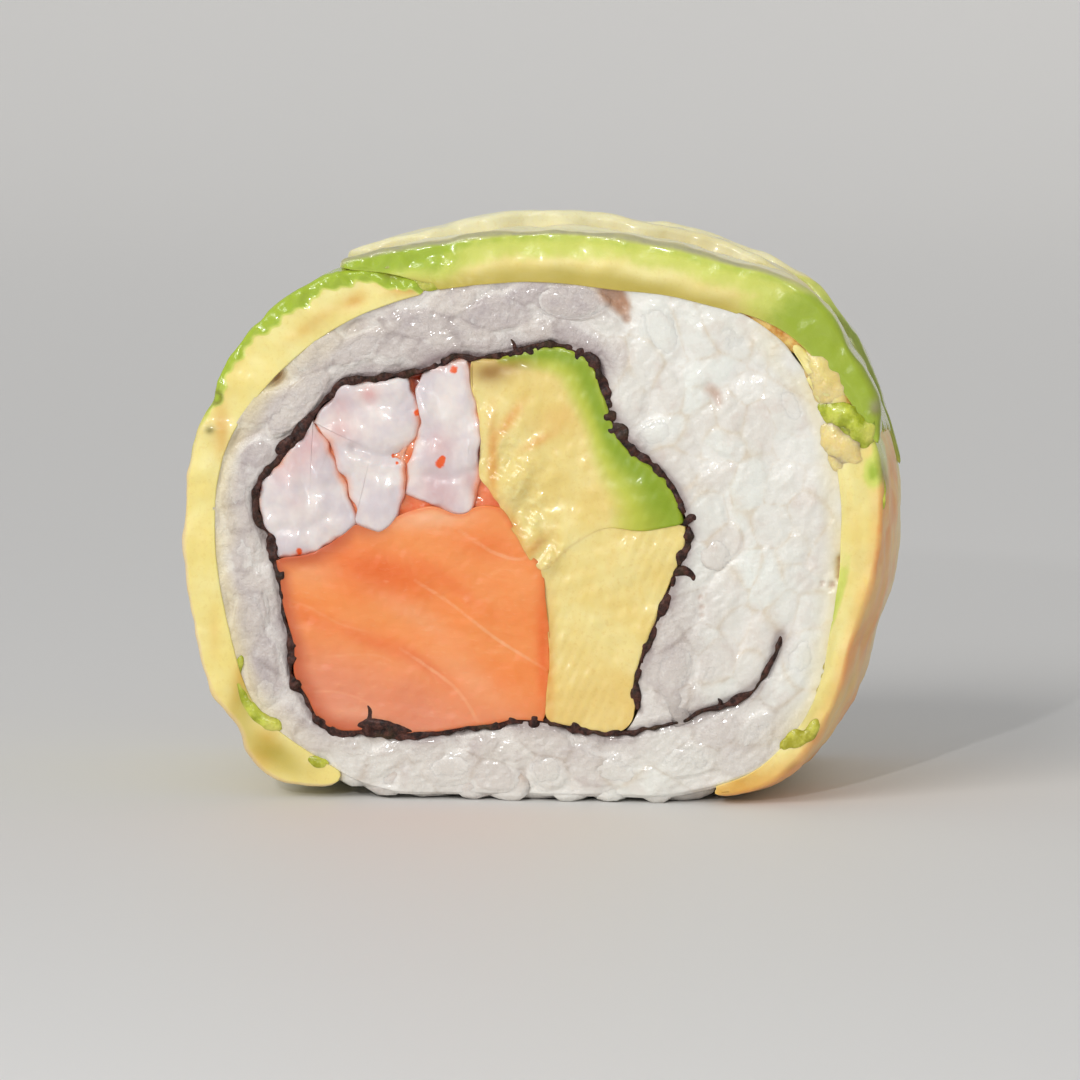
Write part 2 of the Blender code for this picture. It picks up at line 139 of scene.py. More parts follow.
riceOutline = smoothLine(riceEdge, 480)
riceAngles = np.arctan2(riceOutline[:, 1] - middleZ, riceOutline[:, 0] - middleX)
riceOrder = np.argsort(riceAngles)
riceRadii = np.linalg.norm(riceOutline - np.array(roll["middle"]), axis=1)


def riceRadius(angle):
    return np.interp(angle, riceAngles[riceOrder], riceRadii[riceOrder], period=2 * np.pi)


def settle(points):
    # the filling turns and shifts along the roll, and the outside swells between the two cuts
    x, y, z = np.moveaxis(np.asarray(points, float), -1, 0)
    along = np.clip(y / half, -1, 1)
    dx, dz = x - middleX, z - middleZ
    angle = np.arctan2(dz, dx)
    radius = riceRadius(angle)
    share = np.hypot(dx, dz) / radius
    drift = (along + 1) / 2 * np.maximum(0, 1 - share**4)
    turn = roll["driftTurn"] * drift
    newX = dx * np.cos(turn) - dz * np.sin(turn) + roll["driftShift"][0] * drift
    newZ = dx * np.sin(turn) + dz * np.cos(turn) + roll["driftShift"][1] * drift
    apart = np.arctan2(np.sin(angle - roll["flankAngle"]), np.cos(angle - roll["flankAngle"]))
    turned = np.clip(apart / roll["flankReach"], -1, 1) * np.pi / 2
    flank = roll["flank"] * np.cos(turned) ** 2
    lifted = roll["lift"] * (1 + np.sin(angle)) / 2
    swell = 1 + (flank + lifted) * (1 - np.abs(along) ** 3) * np.minimum(share, 1) / radius
    return np.stack([middleX + newX * swell, y, middleZ + newZ * swell], -1)


# ---- shader wiring


def tone(red, green, blue):
    # a colour as a screen shows it, 0 to 255, as the shader wants it
    return tuple(((c / 255 + 0.055) / 1.055) ** 2.4 if c > 10 else c / 255 / 12.92
                 for c in (red, green, blue)) + (1.0,)


class Wire:
    # an output of a shader node; sums and products of wires add their Math nodes
    def __init__(self, paint, socket):
        self.paint, self.socket = paint, socket

    def math(self, operation, first, *others):
        values = dict(enumerate((first, *others)))
        return self.paint.add("ShaderNodeMath", {"operation": operation}, values)

    def __add__(self, other):
        return self.math("ADD", self, other)

    def __sub__(self, other):
        return self.math("SUBTRACT", self, other)

    def __rsub__(self, other):
        return self.math("SUBTRACT", other, self)

    def __mul__(self, other):
        return self.math("MULTIPLY", self, other)

    def __truediv__(self, other):
        return self.math("DIVIDE", self, other)

    def __pow__(self, other):
        return self.math("POWER", self, other)

    def __abs__(self):
        return self.math("ABSOLUTE", self)

    __radd__, __rmul__ = __add__, __mul__


class Paint:
    # one material; fixed holds the shader's own constant sockets
    def __init__(self, name, fixed):
        self.material = bpy.data.materials.new(name)
        self.material.use_nodes = True
        self.nodes = self.material.node_tree.nodes
        self.shader = self.nodes["Principled BSDF"]
        for socket, value in fixed.items():
            self.shader.inputs[socket].default_value = value
        coordinates = self.add("ShaderNodeTexCoord", {}, {}, "Object")
        scaled = self.add("ShaderNodeVectorMath", {"operation": "SCALE"}, {0: coordinates, "Scale": 1000.0})
        self.place = scaled  # in millimetres
        self.x, self.y, self.z = (self.add("ShaderNodeSeparateXYZ", {}, {0: scaled}, axis) for axis in "XYZ")

    def add(self, kind, settings, values, output=0):
        node = self.nodes.new(kind)
        for name, value in settings.items():
            setattr(node, name, value)
        for socket, value in values.items():
            if isinstance(value, Wire):
                self.material.node_tree.links.new(value.socket, node.inputs[socket])
            else:
                node.inputs[socket].default_value = value
        return Wire(self, node.outputs[output])

    def noise(self, size, detail=2.0, rough=0.5, stretch=(1, 1, 1), offset=0.0):
        place = self.add("ShaderNodeMapping", {}, {
            "Vector": self.place, "Location": (offset, offset * 0.7, -offset), "Scale": stretch})
        return self.add("ShaderNodeTexNoise", {}, {
            "Vector": place, "Scale": 1 / size, "Detail": detail, "Roughness": rough})

    def cells(self, size, feature="F1", offset=0.0):
        place = self.add("ShaderNodeMapping", {}, {"Vector": self.place, "Location": (offset,) * 3})
        return self.add("ShaderNodeTexVoronoi", {"feature": feature}, {"Vector": place, "Scale": 1 / size})

    def attribute(self, name):
        return self.add("ShaderNodeAttribute", {"attribute_name": name}, {}, "Fac")

    def step(self, value, low, high):
        return self.add("ShaderNodeMapRange", {"interpolation_type": "SMOOTHSTEP"}, {
            "Value": value, "From Min": low, "From Max": high, "To Min": 0.0, "To Max": 1.0})

    def mix(self, share, first, second):
        return self.add("ShaderNodeMix", {"data_type": "RGBA"}, {0: share, 6: first, 7: second}, 2)

    def bump(self, height, strength, distance, normal=None):
        values = {"Height": height, "Strength": strength, "Distance": distance * 0.001}
        if normal:
            values["Normal"] = normal
        return self.add("ShaderNodeBump", {}, values)

    def finish(self, **sockets):
        names = {"color": "Base Color", "roughness": "Roughness", "coat": "Coat Weight", "normal": "Normal"}
        for name, value in sockets.items():
            target = self.shader.inputs[names[name]]
            if isinstance(value, Wire):
                self.material.node_tree.links.new(value.socket, target)
            else:
                target.default_value = value
        return self.material


def softFlesh(weight, scale, radius, coatRoughness=0.12, ior=1.4):
    # constants for wet food: light goes in and spreads by about scale millimetres
    return {
        "Subsurface Weight": weight, "Subsurface Scale": scale * 0.001, "Subsurface Radius": radius,
        "IOR": ior, "Coat Roughness": coatRoughness, "Coat IOR": 1.38,
    }


# ---- the meshes


def addPiece(name, grid, look, nodes, tints=None, wrapRows=False):
    # a grid of points, rows x columns x 3, closed round its columns; its first and last rows are
    # drawn together or meet, and what meets is welded
    rows, columns = grid.shape[:2]
    index = np.arange(rows * columns).reshape(rows, columns)
    ahead = np.roll(index, -1, 0) if wrapRows else index[1:]
    here = index if wrapRows else index[:-1]
    quads = np.stack([here, np.roll(here, -1, 1), np.roll(ahead, -1, 1), ahead], -1).reshape(-1, 4)
    return meshOf(name, grid.reshape(-1, 3), quads, look, nodes, tints)


def meshOf(name, points, faces, look, nodes, tints=None, turnOut=False):
    data = bpy.data.meshes.new(name)
    data.from_pydata(settle(points) * 0.001, [], faces.tolist())
    for tint, values in (tints or {}).items():
        layer = data.attributes.new(tint, "FLOAT", "POINT")
        layer.data.foreach_set("value", np.ravel(values).astype(np.float32))
    made = bmesh.new()
    made.from_mesh(data)
    bmesh.ops.remove_doubles(made, verts=made.verts, dist=1e-7)
    bmesh.ops.dissolve_degenerate(made, edges=made.edges, dist=1e-7)
    if turnOut:
        bmesh.ops.recalc_face_normals(made, faces=made.faces)
    if made.calc_volume(signed=True) < 0:
        bmesh.ops.reverse_faces(made, faces=made.faces)
    made.to_mesh(data)
    made.free()
    data.shade_smooth()
    piece = bpy.data.objects.new(name, data)
    bpy.context.scene.collection.objects.link(piece)
    data.materials.append(look)
    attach(piece, "root")
    if nodes:
        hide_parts(*nodes)
    return piece


def barGrid(outline, center, reach, edge, capRows, sideRows, edgeRows=6):
    # a section carried along y: rows from the middle of the front cut to its rim, round the rim,
    # along the side, and over the back cut to its middle; edge, how far the rim is rounded, may
    # change round the section. Also the way out at each point, which end it belongs to (-1 front,
    # 0 side, 1 back), and its share of the way from the middle to the rim
    center = np.array(center, float)
    spokes = outline - center
    lengths = np.linalg.norm(spokes, axis=1)[:, None]
    out = spokes / lengths
    edge = np.broadcast_to(edge, len(outline))[:, None]
    inner = lengths - edge
    shares = np.linspace(0, 1, capRows) ** 0.85
    round_ = smooth(shares, 0, 0.9)[:, None, None]
    cap = out * shares[:, None, None] * (inner * round_ + inner.mean() * (1 - round_))
    turns = np.linspace(0, np.pi / 2, edgeRows + 1)[1:]
    rim = out * (inner + edge * np.sin(turns)[:, None, None])
    side = np.broadcast_to(spokes, (sideRows, *outline.shape))
    section = center + np.concatenate([cap, rim, side, rim[::-1], cap[::-1]])
    ends = np.concatenate([-np.ones(capRows), -np.cos(turns), np.zeros(sideRows),
                           np.cos(turns)[::-1], np.ones(capRows)])[:, None]
    ways = np.sqrt(np.maximum(0, 1 - ends**2))
    full = np.ones(capRows + edgeRows)
    long = np.concatenate([-full, np.linspace(-1, 1, sideRows + 2)[1:-1], full])[:, None]
    y = long * (reach - edge.T) + ends * edge.T
    whole = np.ones(edgeRows * 2 + sideRows)
    share = np.concatenate([shares, whole, shares[::-1]])[:, None]
    grid = np.stack([section[..., 0], y, section[..., 1]], -1)
    ends = np.broadcast_to(ends, y.shape)
    normal = np.stack([out[:, 0] * ways, ends, out[:, 1] * ways], -1)
    return grid, normal, ends, np.broadcast_to(share, y.shape)


def leafGrid(line, out, thick, front, back, acrossRows, alongRows, corner, cornerRows=4, innerCorner=None):
    # a leaf that stands on a line: rows along the line, columns round its section, which is the
    # front cut, the outer face, the back cut and the inner face, with rounded corners, those of
    # the inner face by innerCorner. thick is half its thickness. Also the way out at each point
    # and where it lies across the leaf
    turns = np.linspace(0, np.pi / 2, cornerRows + 2)[1:-1]
    flat = np.linspace(-1, 1, acrossRows)
    long = np.sin(np.linspace(-np.pi / 2, np.pi / 2, alongRows)) * 0.5 + np.linspace(-1, 1, alongRows) * 0.5
    one, none = np.ones, np.zeros
    n = len(turns)
    restAcross = np.concatenate([flat, one(n), one(alongRows), one(n), flat[::-1], -one(n), -one(alongRows), -one(n)])
    restAlong = np.concatenate([-one(acrossRows), -one(n), long, one(n), one(acrossRows), one(n), long[::-1], -one(n)])
    wayAcross = np.concatenate([none(acrossRows), np.sin(turns), one(alongRows), np.cos(turns),
                                none(acrossRows), -np.sin(turns), -one(alongRows), -np.cos(turns)])
    wayAlong = np.concatenate([-one(acrossRows), -np.cos(turns), none(alongRows), np.sin(turns),
                               one(acrossRows), np.cos(turns), none(alongRows), -np.sin(turns)])
    thick = np.asarray(thick, float)[:, None]
    inner = corner if innerCorner is None else innerCorner
    rounding = np.minimum(inner + (corner - inner) * (restAcross + 1) / 2, thick * 0.9)
    across = restAcross * (thick - rounding) + wayAcross * rounding
    front, back = np.broadcast_to(front, (len(line),))[:, None], np.broadcast_to(back, (len(line),))[:, None]
    center, reach = (front + back) / 2, (back - front) / 2
    y = center + restAlong * (reach - rounding) + wayAlong * rounding
    section = line[:, None] + out[:, None] * across[..., None]
    grid = np.stack([section[..., 0], y, section[..., 1]], -1)
    ways = np.broadcast_to(wayAcross, y.shape)
    normal = np.stack([out[:, None, 0] * ways, np.broadcast_to(wayAlong, y.shape), out[:, None, 1] * ways], -1)
    placed = np.divide(across, thick, out=np.zeros_like(across), where=thick > 1e-9)
    return grid, normal, placed, across


# ---- nori

noriSheet = {"thickness": 0.5, "reach": 12.9, "points": 900}
noriFine = smoothLine(noriPath, noriSheet["points"], closed=False)
noriLoop = smoothLine(noriPath[6:], 500)
loopCenter = np.array((-4.0, 18.0))
loopAngles = np.arctan2(*(noriLoop - loopCenter).T[::-1])
loopOrder = np.argsort(loopAngles)
loopRadii = np.linalg.norm(noriLoop - loopCenter, axis=1)


def loopRadius(angle):
    # how far the nori round the filling lies from the filling's middle
    return np.interp(angle, loopAngles[loopOrder], loopRadii[loopOrder], period=2 * np.pi)


def noriLook():
    # nearly black, with a brown, fuzzy break where it was cut
    paint = Paint("nori", {"IOR": 1.4, "Coat Roughness": 0.3, "Specular IOR Level": 0.35})
    fuzz = paint.noise(0.5, 4, 0.7)
    blotch = paint.noise(2.4, 3, 0.6, offset=5)
    color = paint.mix(paint.step(fuzz, 0.35, 0.75), tone(32, 16, 13), tone(98, 58, 48))
    color = paint.mix(paint.step(blotch, 0.5, 0.7) * 0.6, color, tone(60, 52, 30))
    normal = paint.bump(fuzz + paint.noise(0.18, 2, offset=3) * 0.5, 0.8, 0.25)
    return paint.finish(color=color, roughness=0.38 + blotch * 0.35, coat=0.12, normal=normal)


def makeNori():
    # a leaf on the nori's line; its thickness swells and thins by ripples and it is torn at its edges
    line = noriFine
    out = leftOf(line, False)
    place = np.column_stack([line, np.zeros(len(line))])
    walked = np.linspace(0, 1, len(line))
    tail = smooth(walked, 0.20, 0.06)
    thick = noriSheet["thickness"] / 2 * (1 + 0.4 * ripples(place, 2.4, 41) + 0.2 * ripples(place, 1.1, 42))
    thick = np.clip(thick, 0.12, 0.5) * (1 - 0.55 * tail)
    for x, z, size, more in ((-18.2, 25.5, 0.9, 0.16), (-11.6, 5.4, 1.3, 0.34), (5.2, 28.0, 2.2, 0.16),
                             (14.0, 7.6, 0.9, 0.22), (6.9, 5.9, 0.8, 0.2), (10.4, 17.6, 0.6, 0.15),
                             (6.6, 25.2, 1.4, 0.14), (8.9, 14.6, 1.6, 0.12)):
        thick = thick + spot(line[:, 0], line[:, 1], x, z, size) * more
    ends = np.minimum(1, np.minimum(walked, 1 - walked) / 0.004)
    thick = thick * np.sqrt(ends * (2 - ends))
    shift = 0.07 * ripples(place, 1.7, 43) + 0.02 * ripples(place, 0.7, 47)
    front = -noriSheet["reach"] + 0.1 * ripples(place, 0.9, 44) * (1 - 0.6 * tail) - 0.08 * tail
    back = noriSheet["reach"] + 0.1 * ripples(place, 1.0, 45)
    grid, normal, placed, _ = leafGrid(line + out * shift[:, None], out, thick, front, back, 4, 40, 0.12, 2)
    grid = grid + normal * (0.03 * ripples(grid, 0.9, 46) * np.minimum(1, thick / 0.05)[:, None])[..., None]
    addPiece("noriSheet", grid, noriMaterial, ["nori"])


noriMaterial = noriLook()
makeNori()
print("roll: nori")

# ---- rice

riceBed = {
    "around": 600, "frontRows": 88, "backRows": 30, "sideRows": 36, "homeRows": 8,
    "set": 0.1,  # how far the skin over the pressed grains lies behind the cut
    "relief": (0.38, 0.14),  # how deep its seams are, on the left and on the right
}
ricePits = [  # x, z, radius, depth, how dark: hollows between the grains on the front cut, darkened tan as painted shade
    (4.8, 36.7, 0.9, 0.3, 1.0), (5.5, 36.0, 0.7, 0.45, 1.0), (5.9, 35.3, 0.5, 0.4, 1.0), (6.15, 34.6, 0.32, 0.3, 0.8),
    (-19.2, 30.6, 0.7, 0.8, 1.0), (12.0, 29.8, 0.6, 0.14, 0.45), (12.6, 29.3, 0.5, 0.16, 0.5), (12.7, 28.7, 0.3, 0.12, 0.4),
    (11.4, 14.9, 0.3, 0.16, 0.5), (11.5, 14.2, 0.3, 0.16, 0.5), (11.5, 13.6, 0.25, 0.14, 0.4),
    (21.3, 17.7, 0.3, 0.6, 1.0), (21.3, 17.1, 0.3, 0.7, 1.0), (21.3, 16.5, 0.3, 0.7, 1.0),
    (20.7, 15.9, 0.28, 0.4, 0.8), (20.0, 16.0, 0.25, 0.3, 0.6), (8.3, 34.9, 0.3, 0.2, 0.3),
]


def riceLook(name="rice"):
    paint = Paint(name, softFlesh(0.35, 0.35, (1.0, 0.94, 0.88), 0.07))
    depth = paint.attribute("depth")
    white = paint.attribute("white")
    speck = paint.noise(0.6, 3, 0.6, offset=4)
    wisp = paint.noise(1.7, 3, 0.6, offset=14)
    color = paint.mix(white, tone(219, 210, 202), tone(237, 239, 232))
    shaded = paint.mix(white, tone(186, 175, 176), tone(224, 213, 203))
    color = paint.mix(paint.attribute("shade") * 0.55 + paint.step(wisp, 0.45, 0.75) * 0.45, color, shaded)
    color = paint.mix(paint.step(speck, 0.5, 0.8) * 0.4, color, tone(243, 241, 237))
    # the seams between grains: on the left darker grey, painted shade in the grooves; on the right a cream line
    between = paint.mix(white, tone(158, 144, 142), tone(214, 198, 172))
    color = paint.mix(paint.attribute("seam") ** 2.0 * paint.step(wisp, 0.25, 0.6) * 0.6, color, between)
    # painted highlight: a pale line along the rims of the grains, just behind the cut
    rim = paint.step(depth, 0.01, 0.08) * paint.step(depth, 0.32, 0.14)
    color = paint.mix(rim * 0.45, color, tone(246, 243, 237))
    # painted shade: tan where the rice lies deeper behind the cut, in the grooves
    color = paint.mix(paint.step(depth, 0.3, 1.2) * 0.6, color, tone(200, 172, 146))
    color = paint.mix(paint.attribute("warm") * 0.8, color, tone(240, 223, 160))
    # darker purple-grey beside the nori: partly the nori's stain, partly painted shade in the crevice along the nori
    color = paint.mix(paint.attribute("noriStainAndShade") * (0.5 + speck * 0.5), color, tone(140, 120, 122))
    # painted shade: the pits between the grains darkened tan
    color = paint.mix(paint.attribute("pitShade") * (0.45 + wisp * 0.6), color, tone(188, 140, 108))
    wet = paint.noise(0.5, 3, 0.65) * (1.5 - white * 1.1)
    bump = paint.bump(wet + wisp * 0.8, 0.55, 0.24)
    rough = 0.2 + paint.noise(1.6, 2, offset=9) * 0.3
    return paint.finish(color=color, roughness=rough, coat=0.5, normal=bump)


riceMaterial = riceLook()


riceGrain = {
    "length": 6.2, "width": 2.9, "height": 2.6, "bend": 0.28, "faceGrains": 138, "spacing": 2.05,
    "standApart": 3.3, "standChance": 0.5, "proud": 0.02, "undersideGrains": 96, "cutSoftness": 0.26,
}
# notable grains of the front cut: x, z, length, width, turn in degrees, how far the cut stands back
placedGrains = [
    (-16.2, 32.1, 5.4, 3.1, 32, 0.0), (-17.4, 28.6, 6.6, 2.3, 48, 0.1), (2.3, 35.8, 5.4, 2.6, -4, 0.0),
    (9.5, 9.8, 5.0, 3.0, 70, 0.0), (12.6, 10.2, 5.0, 2.8, 66, 0.1), (-20.0, 8.4, 5.2, 3.0, 100, 0.0),
    (-8.6, 34.2, 5.6, 2.5, 12, 0.1), (-3.2, 34.9, 5.6, 2.5, 4, 0.05), (-12.8, 32.6, 5.2, 2.3, 22, 0.15),
    (-21.9, 22.6, 5.0, 2.5, 84, 0.1), (-21.4, 18.0, 5.0, 2.6, 96, 0.0), (-21.0, 13.0, 5.2, 2.7, 82, 0.1),
    (-6.4, 2.4, 5.2, 2.8, 8, 0.0), (0.6, 2.3, 3.4, 3.2, 0, 0.0), (5.6, 2.3, 4.8, 2.7, -10, 0.0),
    (-11.6, 2.7, 4.8, 2.6, 30, 0.1), (10.6, 3.2, 5.2, 2.7, 8, 0.0), (15.6, 5.4, 5.0, 2.6, 40, 0.0),
    (8.6, 33.8, 5.2, 3.2, -70, 0.1), (13.4, 33.4, 5.2, 2.8, -38, 0.0), (17.6, 28.6, 5.4, 2.8, -60, 0.0),
    (19.4, 20.4, 5.6, 2.8, 86, 0.1), (18.6, 10.6, 5.2, 2.6, 70, 0.0),
]


def sideOfNori(points):
    # distance from the nori's line and on which side of it: positive on its outer, left side
    near, which = distanceTo(points[..., 0], points[..., 1], noriFine)
    out = leftOf(noriFine, False)[which]
    side = np.sign(((points - noriFine[which]) * out).sum(-1))
    return near, np.where(side == 0, 1, side), which


def insideRing(points, margin):
    # whether places on a cut lie in the rice, margin clear of its outline and of the nori
    x, z = points[..., 0], points[..., 1]
    radius = np.hypot(x - middleX, z - middleZ)
    outer = riceRadius(np.arctan2(z - middleZ, x - middleX)) - radius
    near, _, _ = sideOfNori(points)
    offset = points - loopCenter
    inner = np.hypot(offset[..., 0], offset[..., 1]) - loopRadius(np.arctan2(offset[..., 1], offset[..., 0]))
    return (outer > margin) & (inner > margin) & (near > margin)


def scatter(draw, taken, wanted, spacing, margin, clearOf=()):
    # places on the ring, each new one spacing away from those before it
    places = list(taken)
    tries = draw.uniform((-24, 0.8), (22, 37.5), size=(12000, 2))
    good = insideRing(tries, margin)
    for place in tries[good]:
        if len(places) >= wanted:
            break
        if np.min(np.hypot(*(np.array(places) - place).T)) < spacing:
            continue
        if any(math.hypot(place[0] - px, place[1] - pz) < r + 0.6 for px, pz, r, *_ in clearOf):
            continue
        places.append(tuple(place))
    return places[len(taken):]


def grainShape(rings, segments):
    # one plump grain along its own first axis, -1 to 1: radius sqrt(1 - t^2), fuller at one end
    t = -np.cos(np.linspace(0, np.pi, rings + 2))
    radius = np.sqrt(np.maximum(0, 1 - t**2)) ** 0.9 * (1 - 0.12 * t)
    turn = np.linspace(0, 2 * np.pi, segments, endpoint=False)
    along = np.repeat(t, segments)
    across = (radius[:, None] * np.cos(turn)).ravel()
    up = (radius[:, None] * np.sin(turn)).ravel()
    index = np.arange(len(t) * segments).reshape(len(t), segments)
    quads = np.stack([index[:-1], np.roll(index[:-1], -1, 1), np.roll(index[1:], -1, 1), index[1:]], -1)
    return along, across, up, quads.reshape(-1, 4)


def grainPoints(centers, ways, wides, sizes, bends, shape):
    # every grain's points at once: centre + length, width and height along its own three axes
    along, across, up, _ = shape
    thirds = np.cross(ways, wides)
    bowed = bends[:, None] * (along**2 - 0.35)
    return (centers[:, None]
            + ways[:, None] * (along * sizes[:, :1] / 2)[..., None]
            + wides[:, None] * (across * sizes[:, 1:2] / 2 + bowed)[..., None]
            + thirds[:, None] * (up * sizes[:, 2:] / 2)[..., None])


def softFloor(value, floor, softness):
    # value where it is well above floor, and floor where it is below, with a soft turn between
    over = (value - floor) / softness
    return floor + softness * (np.maximum(over, 0) + np.log1p(np.exp(-np.abs(over))))


def keepFromNori(points, centers):
    # points of a grain that come over the nori's line, or too near it, are drawn back to its own side
    flat = points[..., [0, 2]]
    near, side, which = sideOfNori(flat)
    _, own, _ = sideOfNori(centers[:, [0, 2]])
    own = np.broadcast_to(own[:, None], side.shape)
    signed = near * side * own
    out = leftOf(noriFine, False)[which]
    lack = np.where(np.abs(signed) < 2.2, np.maximum(0, 0.3 - signed), 0)
    points = points.copy()
    points[..., 0] += out[..., 0] * own * lack
    points[..., 2] += out[..., 1] * own * lack
    return points


def keepInCover(points):
    # and what stands out past the rice's outline is drawn back to it, all but its flat underside
    dx, dz = points[..., 0] - middleX, points[..., 2] - middleZ
    angle, radius = np.arctan2(dz, dx), np.hypot(dx, dz)
    limit = riceRadius(angle) + 0.25
    kept = limit - softFloor(limit - radius, 0, 0.12)
    scale = np.where((points[..., 2] > 3.0), kept / np.maximum(radius, 1e-6), 1)
    return np.stack([middleX + dx * scale, points[..., 1], middleZ + dz * scale], -1)


def riceTints(points, depth, shade, seam):
    # how white the rice is, how dark beside the nori (the nori's stain, with painted shade in the crevice along it),
    # how yellow beside the cover, and how dark its pits are, as painted shade
    x, y, z = np.moveaxis(np.asarray(points, float), -1, 0)
    near, _, _ = sideOfNori(np.stack([x, z], -1))
    rim = riceRadius(np.arctan2(z - middleZ, x - middleX)) - np.hypot(x - middleX, z - middleZ)
    cloud = ripples(points, 4.0, 15)
    white = smooth(x + 1.1 * cloud, 2.5, 8.0) * (1 - 0.9 * spot(x, z, 9.2, 11.2, 2.8, 5.6, -8))
    white = white * (0.4 + 0.6 * smooth(z + cloud, 4.0, 10.0)) + 0.55 * smooth(z, 6.5, 1.5) * smooth(x, 16, 4)
    # beside the nori: the nori's purple-grey stain on the rice, with painted shade along the crevice by the nori
    noriStainAndShade = 0.45 * smooth(near + 0.1 * cloud, 0.65, 0.2) + smooth(near + 0.2 * cloud, 1.5, 0.15) * (
        0.25 + 0.5 * spot(x, z, 5.0, 28.5, 3.2, 4.5) + 0.45 * spot(x, z, -9.0, 32.0, 8.0, 2.5, 12)
        + 0.3 * spot(x, z, 9.6, 19.0, 2.5, 5.0))
    warm = smooth(rim + 0.3 * cloud, 2.1, 0.0) * smooth(z, 2.5, 7.0) * smooth(z, 35.5, 31.0) * (0.6 + 0.2 * cloud)
    cut = y < -8
    # painted shade: the pits on the front cut, darkened tan
    pitShade = np.clip(1.6 * sum(pitShadeShare * spot(x, z, px, pz, r) for px, pz, r, _, pitShadeShare in ricePits) - 0.3, 0, 1) * cut
    tints = {"depth": depth, "shade": shade, "seam": seam, "white": white, "noriStainAndShade": noriStainAndShade, "warm": warm, "pitShade": pitShade}
    return {name: np.clip(np.broadcast_to(values, x.shape), 0, 3) for name, values in tints.items()}


def standing(places, fixed, draw):
    # which grains stand out of the skin: the fixed first ones, and others that lie apart from them
    chosen = list(range(fixed))
    for number in range(fixed, len(places)):
        apart = np.hypot(*(places[chosen] - places[number]).T).min() if chosen else 99
        chance = riceGrain["standChance"] * (1 if places[number, 0] < 4 else 0.3)
        if draw.uniform() < chance and apart > riceGrain["standApart"]:
            chosen.append(number)
    return np.array(chosen)


def faceGrains(side, seed, placed):
    # grains on one cut, lying mostly in the cut and near its edges along them, cut off flat by it.
    # All of them swell the skin; the ones that stand out of it are worked out as grains
    draw = np.random.default_rng(seed)
    grain = riceGrain
    known = np.array(placed) if placed else np.zeros((0, 6))
    taken = [(x, z) for x, z, *_ in placed] or [(99.0, 99.0)]
    found = np.array(scatter(draw, taken, grain["faceGrains"], grain["spacing"], 1.05, ricePits if placed else ()))
    count = len(found)
    near, _, which = sideOfNori(found)
    tangents = np.gradient(noriFine, axis=0)[which]
    heading = draw.uniform(0, np.pi, count)
    tangent = np.arctan2(tangents[:, 1], tangents[:, 0]) + draw.normal(0, 0.25, count)
    angle = np.arctan2(found[:, 1] - middleZ, found[:, 0] - middleX)
    rimNear = riceRadius(angle) - np.hypot(found[:, 0] - middleX, found[:, 1] - middleZ)
    heading = np.where(near < 2.2, tangent, heading)
    heading = np.where(rimNear < 2.0, angle + np.pi / 2 + draw.normal(0, 0.25, count), heading)
    lean = draw.normal(0, 0.3, count)
    size = draw.uniform(0.86, 1.06, count)
    sizes = np.stack([grain["length"] * size * draw.uniform(0.72, 1.0, count),
                      grain["width"] * size, grain["height"] * size], 1)
    back = draw.uniform(0.0, 0.12, count)
    places = np.vstack([known[:, :2], found])
    heading = np.concatenate([np.radians(known[:, 4]), heading])
    lean = np.concatenate([np.zeros(len(known)), lean])
    sizes = np.vstack([np.column_stack([known[:, 2], known[:, 3], known[:, 3] * 0.9]), sizes])
    back = np.concatenate([known[:, 5] * 0.6, back])
    count = len(places)
    ways = np.stack([np.cos(heading) * np.cos(lean), np.sin(lean) * -side, np.sin(heading) * np.cos(lean)], 1)
    wides = np.stack([-np.sin(heading), np.zeros(count), np.cos(heading)], 1)
    sunk = sizes[:, 2] * 0.5 * np.cos(lean) + np.abs(np.sin(lean)) * sizes[:, 0] * 0.3
    sunk = sunk - draw.uniform(0.15, 0.6, count)
    centers = np.stack([places[:, 0], side * (half - back - sunk), places[:, 1]], 1)
    bends = draw.uniform(-1, 1, count) * grain["bend"]
    shades = draw.uniform(0, 1, count)
    long, tall = sizes[:, 0] / 2, sizes[:, 2] / 2
    group = {
        "u": centers[:, 0], "v": centers[:, 2], "heading": heading, "shade": shades,
        "long": np.hypot(long * np.cos(lean), tall * np.sin(lean)), "wide": sizes[:, 1] / 2,
        "tall": np.hypot(long * np.sin(lean), tall * np.cos(lean)), "base": np.abs(centers[:, 1]),
    }
    out = standing(places, len(known), draw)
    centers, sizes, back = centers[out], sizes[out], back[out]
    shape = grainShape(9 if side < 0 else 5, 16 if side < 0 else 10)
    points = grainPoints(centers, ways[out], wides[out], sizes, bends[out], shape)
    limit = (half + grain["proud"] - back)[:, None] + 0.03 * ripples(points, 2.0, seed + 1)
    reached = points[..., 1] * side
    points[..., 1] = side * (limit - softFloor(limit - reached, 0, grain["cutSoftness"]))
    points = keepInCover(keepFromNori(points, centers))
    points[..., 2] = softFloor(points[..., 2], 0.03, 0.06)
    depth = limit - np.abs(points[..., 1]) - 0.09
    tints = riceTints(points, np.maximum(depth, 0), shades[out][:, None], 0.0)
    return points, shape, tints, group


